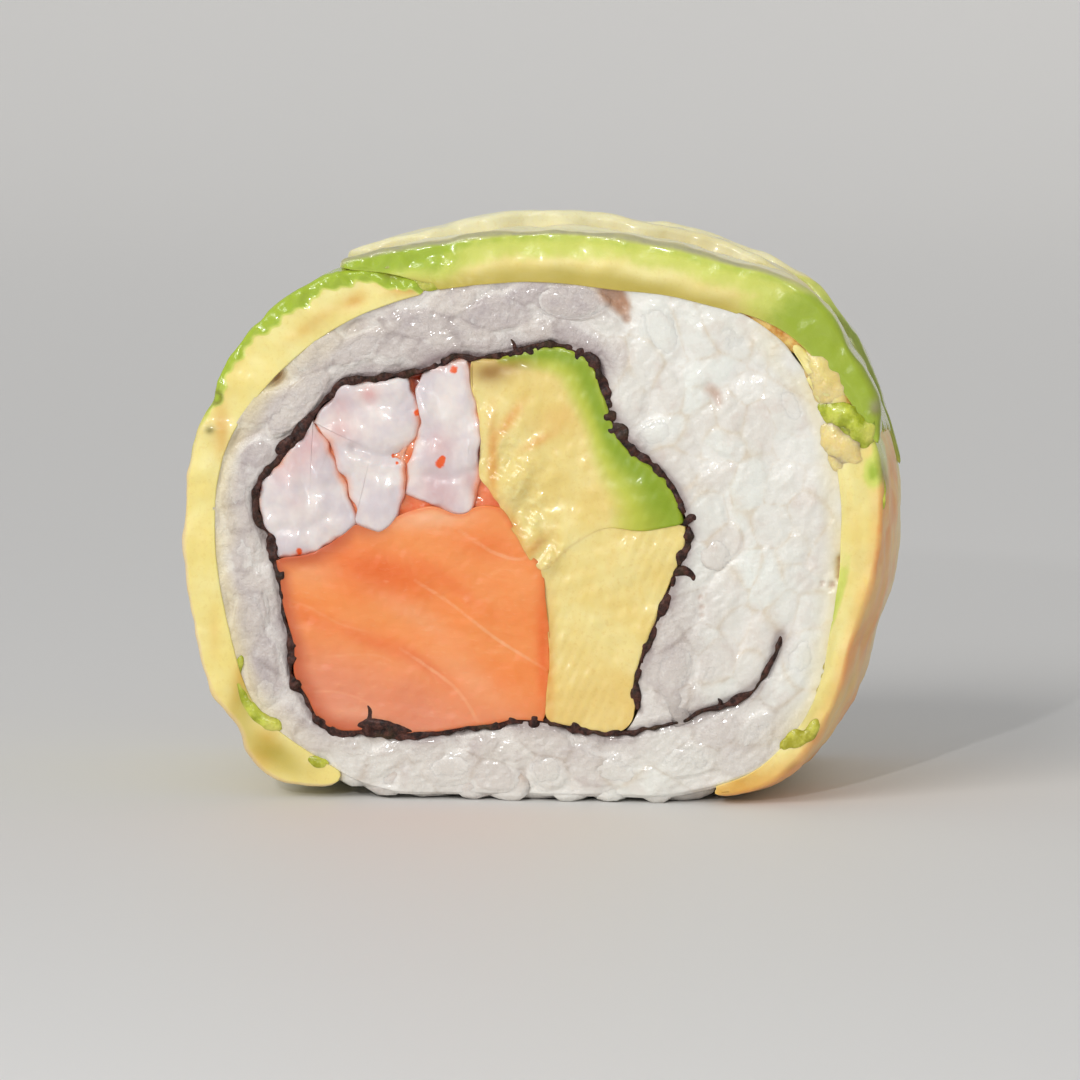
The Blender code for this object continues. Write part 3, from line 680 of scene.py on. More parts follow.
def undersideGrains(seed):
    # grains that lie on the board along the roll's bare underside, flattened by its weight
    draw = np.random.default_rng(seed)
    grain = riceGrain
    places = [(0.0, 0.0)]
    for place in draw.uniform((-13.8, -12.2), (11.8, 12.2), size=(9000, 2)):
        if len(places) >= grain["undersideGrains"]:
            break
        if np.min(np.hypot(*(np.array(places) - place).T)) > 1.95:
            places.append(tuple(place))
    places = np.array(places)
    count = len(places)
    heading = draw.uniform(0, np.pi, count)
    size = draw.uniform(0.85, 1.05, count)
    sizes = np.stack([grain["length"] * size * draw.uniform(0.75, 1, count),
                      grain["width"] * size, grain["height"] * size], 1)
    angle = np.arctan2(0.6 - middleZ, places[:, 0] - middleX)
    level = middleZ + riceRadius(angle) * np.sin(angle)
    ways = np.stack([np.cos(heading), np.sin(heading), np.zeros(count)], 1)
    wides = np.stack([-np.sin(heading), np.cos(heading), np.zeros(count)], 1)
    lift = np.maximum(level, 0.3) - 0.3 + sizes[:, 2] / 2 - draw.uniform(0.1, 0.35, count)
    centers = np.column_stack([places, lift])
    shape = grainShape(5, 10)
    points = grainPoints(centers, ways, wides, sizes, draw.uniform(-1, 1, count) * grain["bend"], shape)
    ends = np.abs(points[..., 1])
    points[..., 1] = np.sign(points[..., 1]) * (12.7 - softFloor(12.7 - ends, 0, 0.3))
    points[..., 2] = softFloor(points[..., 2], 0.02, 0.05)
    depth = np.maximum(0, points[..., 2] - np.maximum(level, 0.3)[:, None]) * 0.6
    shades = draw.uniform(0, 1, count)
    group = {
        "u": centers[:, 0], "v": centers[:, 1], "heading": heading, "shade": shades,
        "long": sizes[:, 0] / 2, "wide": sizes[:, 1] / 2, "tall": sizes[:, 2] / 2, "base": -centers[:, 2],
    }
    return points, shape, riceTints(points, depth, shades[:, None], 0.0), group


def mergedHeight(u, v, group, firm):
    # the height over (u, v) of a skin drawn over the grains: each is a dome on its own oval,
    # top * sqrt(1 - q), and the highest wins softly. Also the mean shade of the grains there, and
    # how far one grain stands out from its neighbours
    du, dv = u[:, None] - group["u"], v[:, None] - group["v"]
    c, sn = np.cos(group["heading"]), np.sin(group["heading"])
    q = ((du * c + dv * sn) / group["long"]) ** 2 + ((dv * c - du * sn) / group["wide"]) ** 2
    dome = np.where(q < 1, np.sqrt(np.maximum(1 - q, 1e-9)), -(q - 1) * 0.7)
    height = np.maximum(group["base"] + group["tall"] * dome, -6) / firm
    top = height.max(1)
    weights = np.exp(height - top[:, None])
    total = weights.sum(1)
    return (top + np.log(total)) * firm, (weights * group["shade"]).sum(1) / total, 1 / total


def makeRiceCore(frontGroup, backGroup, underGroup):
    # a closed ring between the nori round the filling and the rice's outline: columns go round it,
    # and rows over the front cut, back along the outside, over the back cut and home along the nori
    bed = riceBed
    angles = np.linspace(-np.pi, np.pi, bed["around"], endpoint=False)
    ways = np.stack([np.cos(angles), np.sin(angles)], 1)
    inner = loopCenter + ways * loopRadius(angles)[:, None]
    outer = np.array(roll["middle"]) + ways * (riceRadius(angles)[:, None] + 0.05)
    outer[:, 1] = np.maximum(outer[:, 1], 0.4)
    front, back, side, home = bed["frontRows"], bed["backRows"], bed["sideRows"], bed["homeRows"]
    flush = half - bed["set"]
    share = np.concatenate([np.linspace(0, 1, front), np.ones(side), np.linspace(1, 0, back), np.zeros(home)])
    face = np.concatenate([-np.ones(front), np.zeros(side), np.ones(back), np.zeros(home)])
    y = np.concatenate([np.full(front, -flush), np.linspace(-flush, flush, side + 2)[1:-1],
                        np.full(back, flush), np.linspace(12, -12, home)])
    section = inner + (outer - inner) * share[:, None, None]
    grid = np.stack([section[..., 0], np.broadcast_to(y[:, None], section.shape[:2]), section[..., 1]], -1)
    x, z = grid[..., 0].copy(), grid[..., 2].copy()
    shade, seam, depth = np.full(x.shape, 0.4), np.zeros(x.shape), np.full(x.shape, 0.05)
    for end, group in ((-1, frontGroup), (1, backGroup)):
        rows = face == end
        fu, fv = x[rows].ravel(), z[rows].ravel()
        merged, tone_, single = mergedHeight(fu, fv, group, 0.22)
        place = np.stack([fu, fv], 1)
        deepest, shallow = bed["relief"]
        limit = deepest + (shallow - deepest) * smooth(fu, 1, 9) * (end < 0)
        relief = limit * (1 - np.exp(-np.maximum(half - merged, 0) / limit / 1.6))
        relief = relief * (0.8 + 0.3 * ripples(place, 4.0, 12)) + 0.04 * ripples(place, 5.0, 16)
        outward = np.broadcast_to(share[rows][:, None], x[rows].shape).ravel()
        relief = relief * (1 - 0.75 * smooth(outward, 0.86, 1.0) * smooth(fv, 3, 6))
        relief = relief + 0.016 * ripples(place, 0.8, 14) + 0.25 * smooth(outward, 0.95, 1.0) * smooth(fv, 4, 2)
        relief = relief + 0.12 * smooth(sideOfNori(place)[0], 0.5, 0.12)
        if end < 0:
            relief = relief + sum(deep * spot(fu, fv, px, pz, r) for px, pz, r, deep, _ in ricePits)
        grid[rows, :, 1] = (end * (flush - relief)).reshape(-1, x.shape[1])
        shade[rows], seam[rows] = tone_.reshape(-1, x.shape[1]), (2 - 2 * single).reshape(-1, x.shape[1])
        depth[rows] = np.maximum(relief - 0.05, 0).reshape(-1, x.shape[1])
    rows = (face == 0) & (share == 1)
    su, sv = x[rows].ravel(), grid[rows, :, 1].ravel()
    height, tone_, single = mergedHeight(su, sv, underGroup, 0.16)
    low = smooth(z[rows].ravel(), 4.0, 1.6)
    base = z[rows].ravel()
    under = np.clip(-(height - 0.22), 0.04, base)
    grid[rows, :, 2] = (base * (1 - low) + under * low).reshape(-1, x.shape[1])
    shade[rows] = (0.4 * (1 - low) + tone_ * low).reshape(-1, x.shape[1])
    away = np.stack([x[rows] - middleX, z[rows] - middleZ], -1)
    away /= np.linalg.norm(away, axis=-1)[..., None]
    push = 0.1 * ripples(grid[rows], 2.4, 13) * (1 - low.reshape(-1, x.shape[1]))
    grid[rows, :, 0] += away[..., 0] * push
    grid[rows, :, 2] += away[..., 1] * push
    tints = riceTints(grid, depth, shade, np.clip(seam, 0, 1))
    addPiece("riceCore", grid, riceMaterial, ["rice"], tints, wrapRows=True)


def makeGrains(groups):
    allPoints, allFaces, tints, start = [], [], {}, 0
    for points, shape, values, _ in groups:
        count, each = points.shape[:2]
        allPoints.append(points.reshape(-1, 3))
        allFaces.append((shape[3][None] + start + np.arange(count)[:, None, None] * each).reshape(-1, 4))
        start += count * each
        for name, part in values.items():
            tints.setdefault(name, []).append(part.ravel())
    tints = {name: np.concatenate(parts) for name, parts in tints.items()}
    meshOf("riceGrains", np.vstack(allPoints), np.vstack(allFaces), riceMaterial, ["rice"], tints, turnOut=True)
    print("roll: rice,", sum(len(group[0]) for group in groups), "grains")


grainGroups = [faceGrains(-1, 21, placedGrains), faceGrains(1, 31, []), undersideGrains(51)]
makeRiceCore(*(group[3] for group in grainGroups))
makeGrains(grainGroups)

# ---- the filling


def pressed(outline, line, clear, near=1.0, far=1.7):
    # what comes near the line is drawn up to it, until it is just clear of it
    distance, which = distanceTo(outline[:, 0], outline[:, 1], line)
    drawn = np.interp(distance, [0, near, far], [clear, clear, far])
    drawn = np.where(distance < far, drawn, distance)
    apart = outline - line[which]
    return line[which] + apart * (drawn / np.maximum(distance, 1e-6))[:, None]


fillingEdges = {
    "prawn_left": [
        (-20.2, 22.9), (-20.2, 21.1), (-20.0, 19.8), (-19.3, 18.6), (-18.7, 17.8), (-17.3, 17.5),
        (-15.8, 18.0), (-14.6, 18.7), (-13.6, 19.3), (-13.4, 20.5), (-13.9, 22.2), (-14.5, 23.7),
        (-15.0, 25.3), (-15.5, 26.6), (-16.1, 27.2), (-16.9, 26.6), (-17.6, 25.3), (-18.4, 24.3),
        (-19.4, 23.6)],
    "prawn_middle": [
        (-14.4, 29.7), (-13.7, 30.1), (-12.2, 30.2), (-10.7, 30.0), (-9.6, 29.6), (-8.9, 28.7),
        (-8.75, 27.6), (-8.9, 26.4), (-9.3, 25.4), (-9.75, 24.9), (-9.7, 24.0), (-9.7, 22.5),
        (-10.0, 21.1), (-10.7, 19.9), (-11.5, 19.3), (-12.5, 19.8), (-13.2, 20.8), (-13.7, 22.2),
        (-14.3, 23.7), (-14.8, 25.3), (-15.1, 26.4), (-15.6, 27.3), (-15.6, 28.0), (-15.0, 28.9)],
    "prawn_right": [
        (-6.0, 31.4), (-5.3, 30.7), (-4.7, 29.2), (-4.3, 27.4), (-4.25, 25.6), (-4.4, 23.3),
        (-4.75, 21.8), (-5.0, 20.9), (-5.7, 20.5), (-6.8, 20.8), (-8.2, 21.4), (-8.9, 22.5),
        (-8.8, 23.6), (-8.5, 25.1), (-8.4, 26.9), (-8.3, 28.6), (-7.8, 29.8), (-6.8, 30.9)],
    "avocado_strip_upper": [
        (-4.4, 31.1), (-2.0, 31.4), (0.8, 31.9), (2.8, 31.4), (3.6, 29.7), (4.6, 27.1), (5.8, 25.1),
        (8.2, 23.1), (9.6, 21.1), (9.9, 20.1), (7.2, 19.6), (4.7, 19.8), (2.4, 18.6), (0.1, 16.9),
        (-1.7, 19.4), (-2.8, 21.2), (-3.4, 23.4), (-3.4, 25.6), (-4.1, 29.4)],
    "avocado_strip_lower": [
        (9.9, 19.1), (9.9, 18.0), (9.3, 16.7), (8.2, 15.2), (7.3, 13.2), (6.4, 10.9), (5.9, 8.5),
        (5.9, 6.6), (4.0, 6.1), (1.3, 6.4), (0.7, 7.6), (0.9, 9.9), (0.8, 12.5), (0.5, 15.6),
        (1.3, 16.9), (3.0, 18.1), (4.9, 19.0), (7.2, 19.0)],
    "salmon": [
        (-18.4, 16.9), (-14.8, 17.8), (-13.5, 18.6), (-11.2, 19.0), (-9.7, 20.0), (-8.3, 20.3),
        (-4.8, 20.1), (-3.6, 20.9), (-2.4, 19.4), (-0.6, 16.4), (0.1, 12.5), (0.2, 9.2), (0.0, 6.4),
        (-2.9, 6.2), (-7.2, 5.8), (-10.2, 5.7), (-14.3, 5.7), (-15.5, 6.3), (-16.4, 7.8),
        (-17.2, 9.4), (-17.2, 11.0), (-17.9, 13.8)],
}


lapOver = {  # how far each section laps over its neighbours, so that no slit opens between them
    "prawn_left": 0.0, "prawn_middle": 0.0, "prawn_right": 0.0, "avocado_strip_upper": 0.07,
    "avocado_strip_lower": 0.22, "salmon": 0.12,
}


def turnOf(line):
    # 1 for a line of points that runs anticlockwise, so that its left is inside, and -1 otherwise
    x, z = line.T
    return np.sign((x * np.roll(z, -1) - np.roll(x, -1) * z).sum())


def fillingOutlines():
    # each section pressed against those before it and against the nori, its corners worn round
    made = {}
    for name, points in fillingEdges.items():
        outline = smoothLine(points, 420)
        for other in made.values():
            outline = pressed(outline, other, 0.02)
        outline = pressed(outline, noriFine, 0.12, 1.35, 2.1)
        for _ in range(9):  # its corners worn round
            outline = outline / 2 + (np.roll(outline, 1, 0) + np.roll(outline, -1, 0)) / 4
        outline = smoothLine(outline[::3], 420)
        clear = distanceTo(outline[:, 0], outline[:, 1], noriFine)[0]
        grown = lapOver[name] * smooth(clear, 0.1, 0.9)
        if "prawn" in name:
            grown = 0.06 * ripples(outline, 1.6, len(made))
        made[name] = outline - leftOf(outline, True) * turnOf(outline) * np.reshape(grown, (-1, 1))
    return made


outlines = fillingOutlines()


def cutEdge(outline, atNori, elsewhere):
    # how far a section's rim is rounded: by atNori along the nori, by elsewhere where it meets others
    return elsewhere + (atNori - elsewhere) * smooth(distanceTo(outline[:, 0], outline[:, 1], noriFine)[0], 0.45, 0.15)


salmonSlab = {
    "reach": 12.95, "edge": (0.22, 0.07),
    "fatLines": [  # each from its thick end: points, half its width, how clear it is
        ([(-9.0, 15.9), (-6.8, 14.5), (-5.0, 13.2), (-2.9, 11.6), (0.4, 9.6)], 0.03, 1.0),
        ([(-18.6, 14.5), (-16.8, 13.9), (-14.4, 12.7), (-12.2, 12.1)], 0.0, 0.35),
        ([(-4.5, 5.8), (-5.4, 7.3), (-6.5, 8.5), (-8.3, 9.8), (-10.1, 11.0)], 0.04, 0.9),
        ([(-17.1, 7.7), (-15.0, 7.8), (-13.3, 7.4), (-11.9, 6.7)], 0.0, 0.55),
        ([(-5.8, 19.5), (-4.7, 18.8), (-3.2, 17.9), (-1.4, 17.5), (-0.4, 18.2)], 0.06, 0.8),
        ([(-15.8, 10.3), (-12.2, 10.5), (-10.4, 9.9)], 0.0, 0.35),
    ],
    "deep": [  # x, z, length, width, turn, strength: where it is a deeper orange
        (-11.8, 16.6, 4.6, 1.5, -14, 0.9), (-12.0, 11.4, 3.4, 0.6, -22, 0.6), (-8.0, 9.6, 3.0, 0.5, -38, 0.5),
        (-4.0, 18.4, 2.4, 0.9, -10, 0.45), (-16.6, 13.0, 1.6, 0.5, -30, 0.4), (0.2, 11.0, 0.45, 4.6, 0, 0.9),
        (-6.0, 15.4, 2.6, 0.5, -38, 0.35)],
    "pale": [  # and where it is paler
        (-8.0, 20.4, 3.2, 0.8, 4, 0.8), (-16.5, 16.4, 2.0, 0.9, 0, 0.3), (-9.0, 13.4, 3.6, 0.8, -30, 0.3),
        (-5.0, 9.0, 3.0, 1.2, -40, 0.35), (-13.6, 6.2, 1.8, 0.7, 0, 0.35)],
}


def salmonLook():
    paint = Paint("salmon", softFlesh(0.45, 0.6, (1.0, 0.36, 0.2), 0.14))
    grain = paint.noise(3.6, 3, 0.55, stretch=(0.5, 0.2, 1.2), offset=1)
    wave = paint.noise(6.5, 2, 0.5, offset=7)
    fine = paint.noise(0.5, 3, 0.6, stretch=(0.6, 0.3, 1.6), offset=2)
    lowLeft = paint.step(paint.z + paint.x * 0.35 + (wave - 0.5) * 5, 9.5, 0.5)
    color = paint.mix(paint.step(grain, 0.3, 0.7), tone(245, 142, 70), tone(249, 156, 88))
    color = paint.mix(paint.attribute("deep") * (0.6 + fine * 0.6), color, tone(236, 108, 38))
    color = paint.mix(lowLeft * 0.9, color, tone(228, 146, 116))
    color = paint.mix(paint.attribute("pale") * 0.8, color, tone(250, 196, 156))
    color = paint.mix(paint.step(fine, 0.55, 0.8) * 0.25, color, tone(252, 186, 136))
    fat = paint.attribute("fat") + (fine - 0.5) * 0.14
    color = paint.mix(paint.step(fat, 0.16, 0.0) * paint.attribute("fatty") * 0.5, color, tone(252, 194, 150))
    color = paint.mix(paint.step(paint.attribute("rim"), 0.4, 0.0) * 0.45, color, tone(228, 104, 36))
    color = paint.mix(paint.step(paint.attribute("rim") + (wave - 0.5), 1.5, 0.0) * paint.step(paint.x, -8.0, -15.5) * 0.95,
                      color, tone(200, 98, 58))
    normal = paint.bump(fine + grain * 0.4, 0.25, 0.1)
    rough = 0.3 + grain * 0.2
    return paint.finish(color=color, roughness=rough, coat=0.3, normal=normal)


def rimOf(grid, outline):
    # how far in from the section's edge each point lies
    return distanceTo(grid[..., 0], grid[..., 2], outline)[0]


def makeSalmon():
    outline = outlines["salmon"]
    edge = cutEdge(outline, *salmonSlab["edge"])
    grid, normal, ends, share = barGrid(outline, (-9, 12), salmonSlab["reach"], edge, 52, 22)
    x, z = grid[..., 0], grid[..., 2]
    fat, fatty = np.full(x.shape, 9.0), np.zeros(x.shape)
    for points, width, clear in salmonSlab["fatLines"]:
        line = smoothLine(points, 300, closed=False)
        away, which = distanceTo(x, z, line)
        away = away - width * (1 - 0.5 * which / 300)
        nearer = away < fat
        fat = np.where(nearer, away, fat)
        faded = np.sin(np.clip(which / 300, 0.02, 0.98) * np.pi) ** 0.4
        fatty = np.where(nearer, clear * faded * (0.8 + 0.2 * np.sin(which / 300 * 9 + width * 40)), fatty)
    deep, pale = (sum(strong * spot(x, z, px, pz, long, wide, turn) for px, pz, long, wide, turn, strong in salmonSlab[kind])
                  for kind in ("deep", "pale"))
    onCut = smooth(np.abs(ends), 0.3, 1.0)
    relief = 0.05 * ripples(grid, 4.5, 61) + 0.015 * ripples(grid, 0.9, 62) - 0.035 * fatty * np.exp(-(fat / 0.3) ** 2)
    relief = relief * onCut + 0.05 * ripples(grid, 3.0, 63) * (1 - onCut)
    grid = grid + normal * relief[..., None]
    tints = {"fat": np.clip(fat, -1, 3), "fatty": fatty, "rim": np.clip(rimOf(grid, outline), 0, 3),
             "deep": np.clip(deep, 0, 1), "pale": np.clip(pale, 0, 1)}
    addPiece("salmonSlab", grid, salmonLook(), ["salmon"], tints)


def prawnLook():
    paint = Paint("prawn", softFlesh(0.55, 0.6, (1.0, 0.74, 0.64), 0.08))
    cloud = paint.noise(2.4, 3, 0.55)
    thread = paint.noise(1.4, 3, 0.6, stretch=(1.6, 0.5, 0.6), offset=3)
    speck = paint.noise(0.4, 3, 0.7, offset=11)
    color = paint.mix(paint.step(cloud, 0.35, 0.7), tone(220, 210, 213), tone(238, 229, 224))
    color = paint.mix(paint.step(thread, 0.55, 0.8) * 0.3, color, tone(249, 243, 239))
    color = paint.mix(paint.attribute("blush") * (0.45 + speck * 0.5), color, tone(220, 164, 162))
    color = paint.mix(paint.attribute("membrane") * (0.35 + speck * 0.8), color, tone(236, 142, 94))
    color = paint.mix(paint.step(paint.attribute("spots") + (speck - 0.5) * 0.7, 0.4, 0.8), color, tone(240, 100, 40))
    normal = paint.bump(thread + speck * 0.3, 0.2, 0.14)
    return paint.finish(color=color, roughness=0.24 + cloud * 0.2, coat=0.6, normal=normal)


# per prawn: star centre, how plump its cut is, blushes (x, z, size, strength), spots, and the
# stretches of its edge with orange membrane (x, z, size, strength)
prawns = {
    "prawn_left": {
        "piece": "prawnLeftFlesh", "center": (-16.6, 21.6), "seed": 71,
        "blush": [(-17.4, 24.6, 1.2, 0.6), (-16.3, 25.9, 1.0, 0.7), (-18.6, 23.4, 0.9, 0.4), (-17.6, 21.4, 0.7, 0.2)],
        "spots": [(-17.4, 17.9, 0.4)],
        "membrane": [(-15.3, 25.6, 1.2, 0.8), (-14.3, 23.0, 1.0, 0.7), (-17.4, 17.7, 1.0, 0.9), (-18.6, 24.4, 0.8, 0.9)],
        "creases": [((-17.4, 24.9), (-16.6, 21.5), 0.1), ((-15.4, 20.4), (-18.4, 19.6), 0.12)],
    },
    "prawn_middle": {
        "piece": "prawnMiddleFlesh", "center": (-12.1, 25.2), "seed": 73,
        "blush": [(-12.3, 29.2, 0.7, 1.0), (-14.4, 28.4, 1.0, 0.5), (-13.4, 26.6, 1.0, 0.25), (-14.6, 26.6, 0.8, 0.7)],
        "spots": [(-10.6, 24.8, 0.26), (-10.3, 24.3, 0.2), (-8.85, 27.9, 0.4)],
        "membrane": [(-9.9, 24.6, 1.2, 1.0), (-9.6, 22.6, 1.2, 0.9), (-14.8, 25.6, 1.4, 0.8), (-13.6, 22.4, 1.4, 0.5),
                     (-9.0, 27.6, 0.7, 0.6), (-11.4, 24.9, 1.6, 0.4)],
        "creases": [((-13.4, 25.3), (-9.2, 25.1), 0.3), ((-14.6, 28.6), (-13.9, 26.4), 0.1)],
    },
    "prawn_right": {
        "piece": "prawnRightFlesh", "center": (-6.5, 25.5), "seed": 75,
        "blush": [(-7.2, 25.6, 1.1, 0.6), (-7.6, 22.6, 1.5, 0.55), (-5.0, 23.2, 0.6, 0.6), (-6.4, 21.6, 1.2, 0.3)],
        "spots": [(-7.2, 24.3, 0.5), (-6.95, 24.7, 0.3), (-6.2, 31.0, 0.5)],
        "membrane": [(-4.3, 27.5, 1.8, 0.6), (-4.4, 22.8, 1.4, 1.0), (-8.9, 24.4, 1.2, 0.6), (-6.2, 30.8, 1.2, 0.9)],
        "creases": [((-8.3, 23.6), (-4.6, 23.9), 0.12), ((-6.0, 29.6), (-5.6, 25.0), 0.06)],
    },
}
prawnForm = {"reach": 12.8, "edge": 0.42, "dome": 0.22}


def makePrawns():
    look = prawnLook()
    for node, one in prawns.items():
        outline = outlines[node]
        grid, normal, ends, share = barGrid(outline, one["center"], prawnForm["reach"], prawnForm["edge"], 30, 22, 8)
        x, z = grid[..., 0], grid[..., 2]
        rim = rimOf(grid, outline)
        onCut = smooth(np.abs(ends), 0.2, 1.0)
        dome = prawnForm["dome"] * (1 - share**2.5)
        lumps = 0.09 * ripples(grid, 2.6, one["seed"]) + 0.012 * ripples(grid, 0.9, one["seed"] + 1)
        crease = np.zeros(x.shape)
        for start, end, deep in one["creases"]:
            line = smoothLine([start, ((start[0] + end[0]) / 2, (start[1] + end[1]) / 2 - 0.45), end], 60, False)
            crease = crease + deep * np.exp(-(distanceTo(x, z, line)[0] / 0.4) ** 2)
        relief = (dome + lumps - crease) * onCut + 0.08 * ripples(grid, 3.0, one["seed"] + 2) * (1 - onCut)
        grid = grid + normal * relief[..., None]
        blush = sum(strong * spot(x, z, px, pz, size) for px, pz, size, strong in one["blush"])
        spots = sum(spot(x, z, px, pz, size * 0.8) for px, pz, size in one["spots"])
        near = sum(strong * spot(x, z, px, pz, size) for px, pz, size, strong in one["membrane"])
        membrane = np.clip(near * smooth(rim, 0.65, 0.0), 0, 1) + 0.7 * (1 - onCut)
        tints = {"blush": np.clip(blush, 0, 1), "membrane": np.clip(membrane, 0, 1),
                 "spots": np.clip(spots, 0, 1) * (ends < 0)}
        addPiece(one["piece"], grid, look, [node], tints)


avocadoStrip = {"reach": 12.9, "edge": (0.25, 0.05), "lobe": 0.4}
greenEdge = [  # the strip's skin side: x, z, how far the green goes in
    (-2.6, 31.8, 0.7), (0.8, 32.2, 1.9), (2.8, 31.5, 2.4), (3.7, 29.6, 2.2), (4.7, 27.0, 1.9),
    (5.7, 25.2, 2.6), (8.0, 23.1, 4.6), (9.4, 21.1, 6.2), (9.8, 19.8, 6.2),
]


def fillingAvocadoLook():
    paint = Paint("avocadoFilling", softFlesh(0.4, 0.5, (0.9, 0.8, 0.35), 0.12))
    cloud = paint.noise(3.0, 3, 0.5)
    mush = paint.noise(0.8, 4, 0.6, offset=6)
    thread = paint.noise(1.6, 3, 0.55, stretch=(1.2, 0.4, 0.5), offset=2)
    color = paint.mix(paint.step(cloud, 0.3, 0.7), tone(238, 214, 132), tone(243, 226, 154))
    color = paint.mix(paint.step(thread, 0.55, 0.78) * 0.3, color, tone(234, 200, 116))
    low = paint.step(paint.z + (cloud - 0.5) * 5, 14.0, 6.0)
    color = paint.mix(low * 0.4, color, tone(236, 200, 122))
    color = paint.mix(paint.attribute("mushy") * paint.step(mush, 0.45, 0.7) * 0.7, color, tone(246, 234, 168))
    color = paint.mix(paint.attribute("amber") * (0.3 + mush * 0.8), color, tone(228, 156, 64))
    grit = paint.noise(0.3, 3, 0.7, offset=17)
    color = paint.mix(paint.step(grit, 0.5, 0.75) * 0.3, color, tone(222, 186, 100))
    green = paint.attribute("green") + (cloud - 0.5) * 0.25
    color = paint.mix(paint.step(green, 0.1, 0.75) * 0.9, color, tone(192, 202, 66))
    color = paint.mix(paint.step(green, 0.6, 1.15) * 0.9, color, tone(140, 168, 32))
    color = paint.mix(paint.attribute("brown"), color, tone(150, 100, 40))
    rough = paint.attribute("mushy")
    normal = paint.bump(mush * (0.25 + rough) + thread * 0.2, 0.35, 0.25)
    return paint.finish(color=color, roughness=0.42 - rough * 0.22, coat=0.15 + rough * 0.7, normal=normal)


def makeStrips():
    look = fillingAvocadoLook()
    edgeLine = smoothLine(greenEdge, 300, closed=False)
    for node, name, center in (("avocado_strip_upper", "avocadoUpperStrip", (1.0, 23.5)),
                               ("avocado_strip_lower", "avocadoLowerStrip", (4.5, 13.0))):
        outline = outlines[node]
        edge = cutEdge(outline, *avocadoStrip["edge"])
        if node == "avocado_strip_upper":
            edge = edge + avocadoStrip["lobe"] * spot(outline[:, 0], outline[:, 1], 8.2, 19.9, 2.6, 1.4)
        grid, normal, ends, share = barGrid(outline, center, avocadoStrip["reach"], edge, 46, 22)
        x, z = grid[..., 0], grid[..., 2]
        rim = rimOf(grid, outline)
        onCut = smooth(np.abs(ends), 0.3, 1.0)
        mushy = np.clip(spot(x, z, -2.2, 24.0, 2.4, 3.6, 0) + spot(x, z, -0.8, 20.0, 1.6, 2.2)
                        + spot(x, z, 0.2, 17.8, 1.4, 1.2), 0, 1)
        relief = 0.07 * ripples(grid, 5.0, 81) + 0.02 * ripples(grid, 1.0, 82)
        relief = relief + mushy * (0.2 * ripples(grid, 2.4, 83) + 0.035 * ripples(grid, 0.8, 84) + 0.1)
        if node == "avocado_strip_upper":
            relief = relief + 0.35 * spot(x, z, 7.2, 21.4, 2.6, 1.8, -30)  # its lobe stands proud
        relief = relief * onCut + 0.07 * ripples(grid, 3.0, 85) * (1 - onCut)
        grid = grid + normal * relief[..., None]
        away, which = distanceTo(x, z, edgeLine[:, :2])
        green = np.clip(1.15 - away / edgeLine[which, 2], 0, 1.2)
        if node == "avocado_strip_lower":
            green = green * 0.15
        amber = (spot(x, z, -3.4, 24.2, 0.4, 3.6) + spot(x, z, -1.9, 19.8, 0.5, 1.8, 25) + spot(x, z, -2.2, 27.4, 0.4, 1.6, -35)
                 + spot(x, z, -0.2, 25.9, 0.35, 1.5, -62) * 0.7 + spot(x, z, -0.5, 18.2, 0.4, 1.4, -40) * 0.8
                 + spot(x, z, 1.2, 27.6, 1.8, 0.9, 20) * 0.35)
        amber = amber + spot(x, z, 0.7, 9.5, 0.4, 5.0) * 0.7 + 0.25 * smooth(rim, 0.3, 0.0)
        brown = np.clip(spot(x, z, -3.6, 30.8, 1.4, 0.8) * 0.8 + spot(x, z, -1.6, 31.4, 1.4, 0.5) * 0.5, 0, 1)
        tints = {"green": green, "amber": np.clip(amber, 0, 1), "brown": brown, "mushy": mushy}
        addPiece(name, grid, look, [node], tints)


fillingFilm = {  # juice and membrane between the pieces of the filling, seen in the slits and hollows; dark red in the hollows and dark brown by the nori as painted shade
    "reach": 12.4, "inset": 0.22, "proud": 0.0,
    "hollow": [(-7.9, 30.7, 1.5, 0.7), (-8.6, 29.6, 0.7, 1.0), (-16.9, 27.6, 0.8, 0.5), (-18.8, 24.4, 0.9, 0.5)],
}


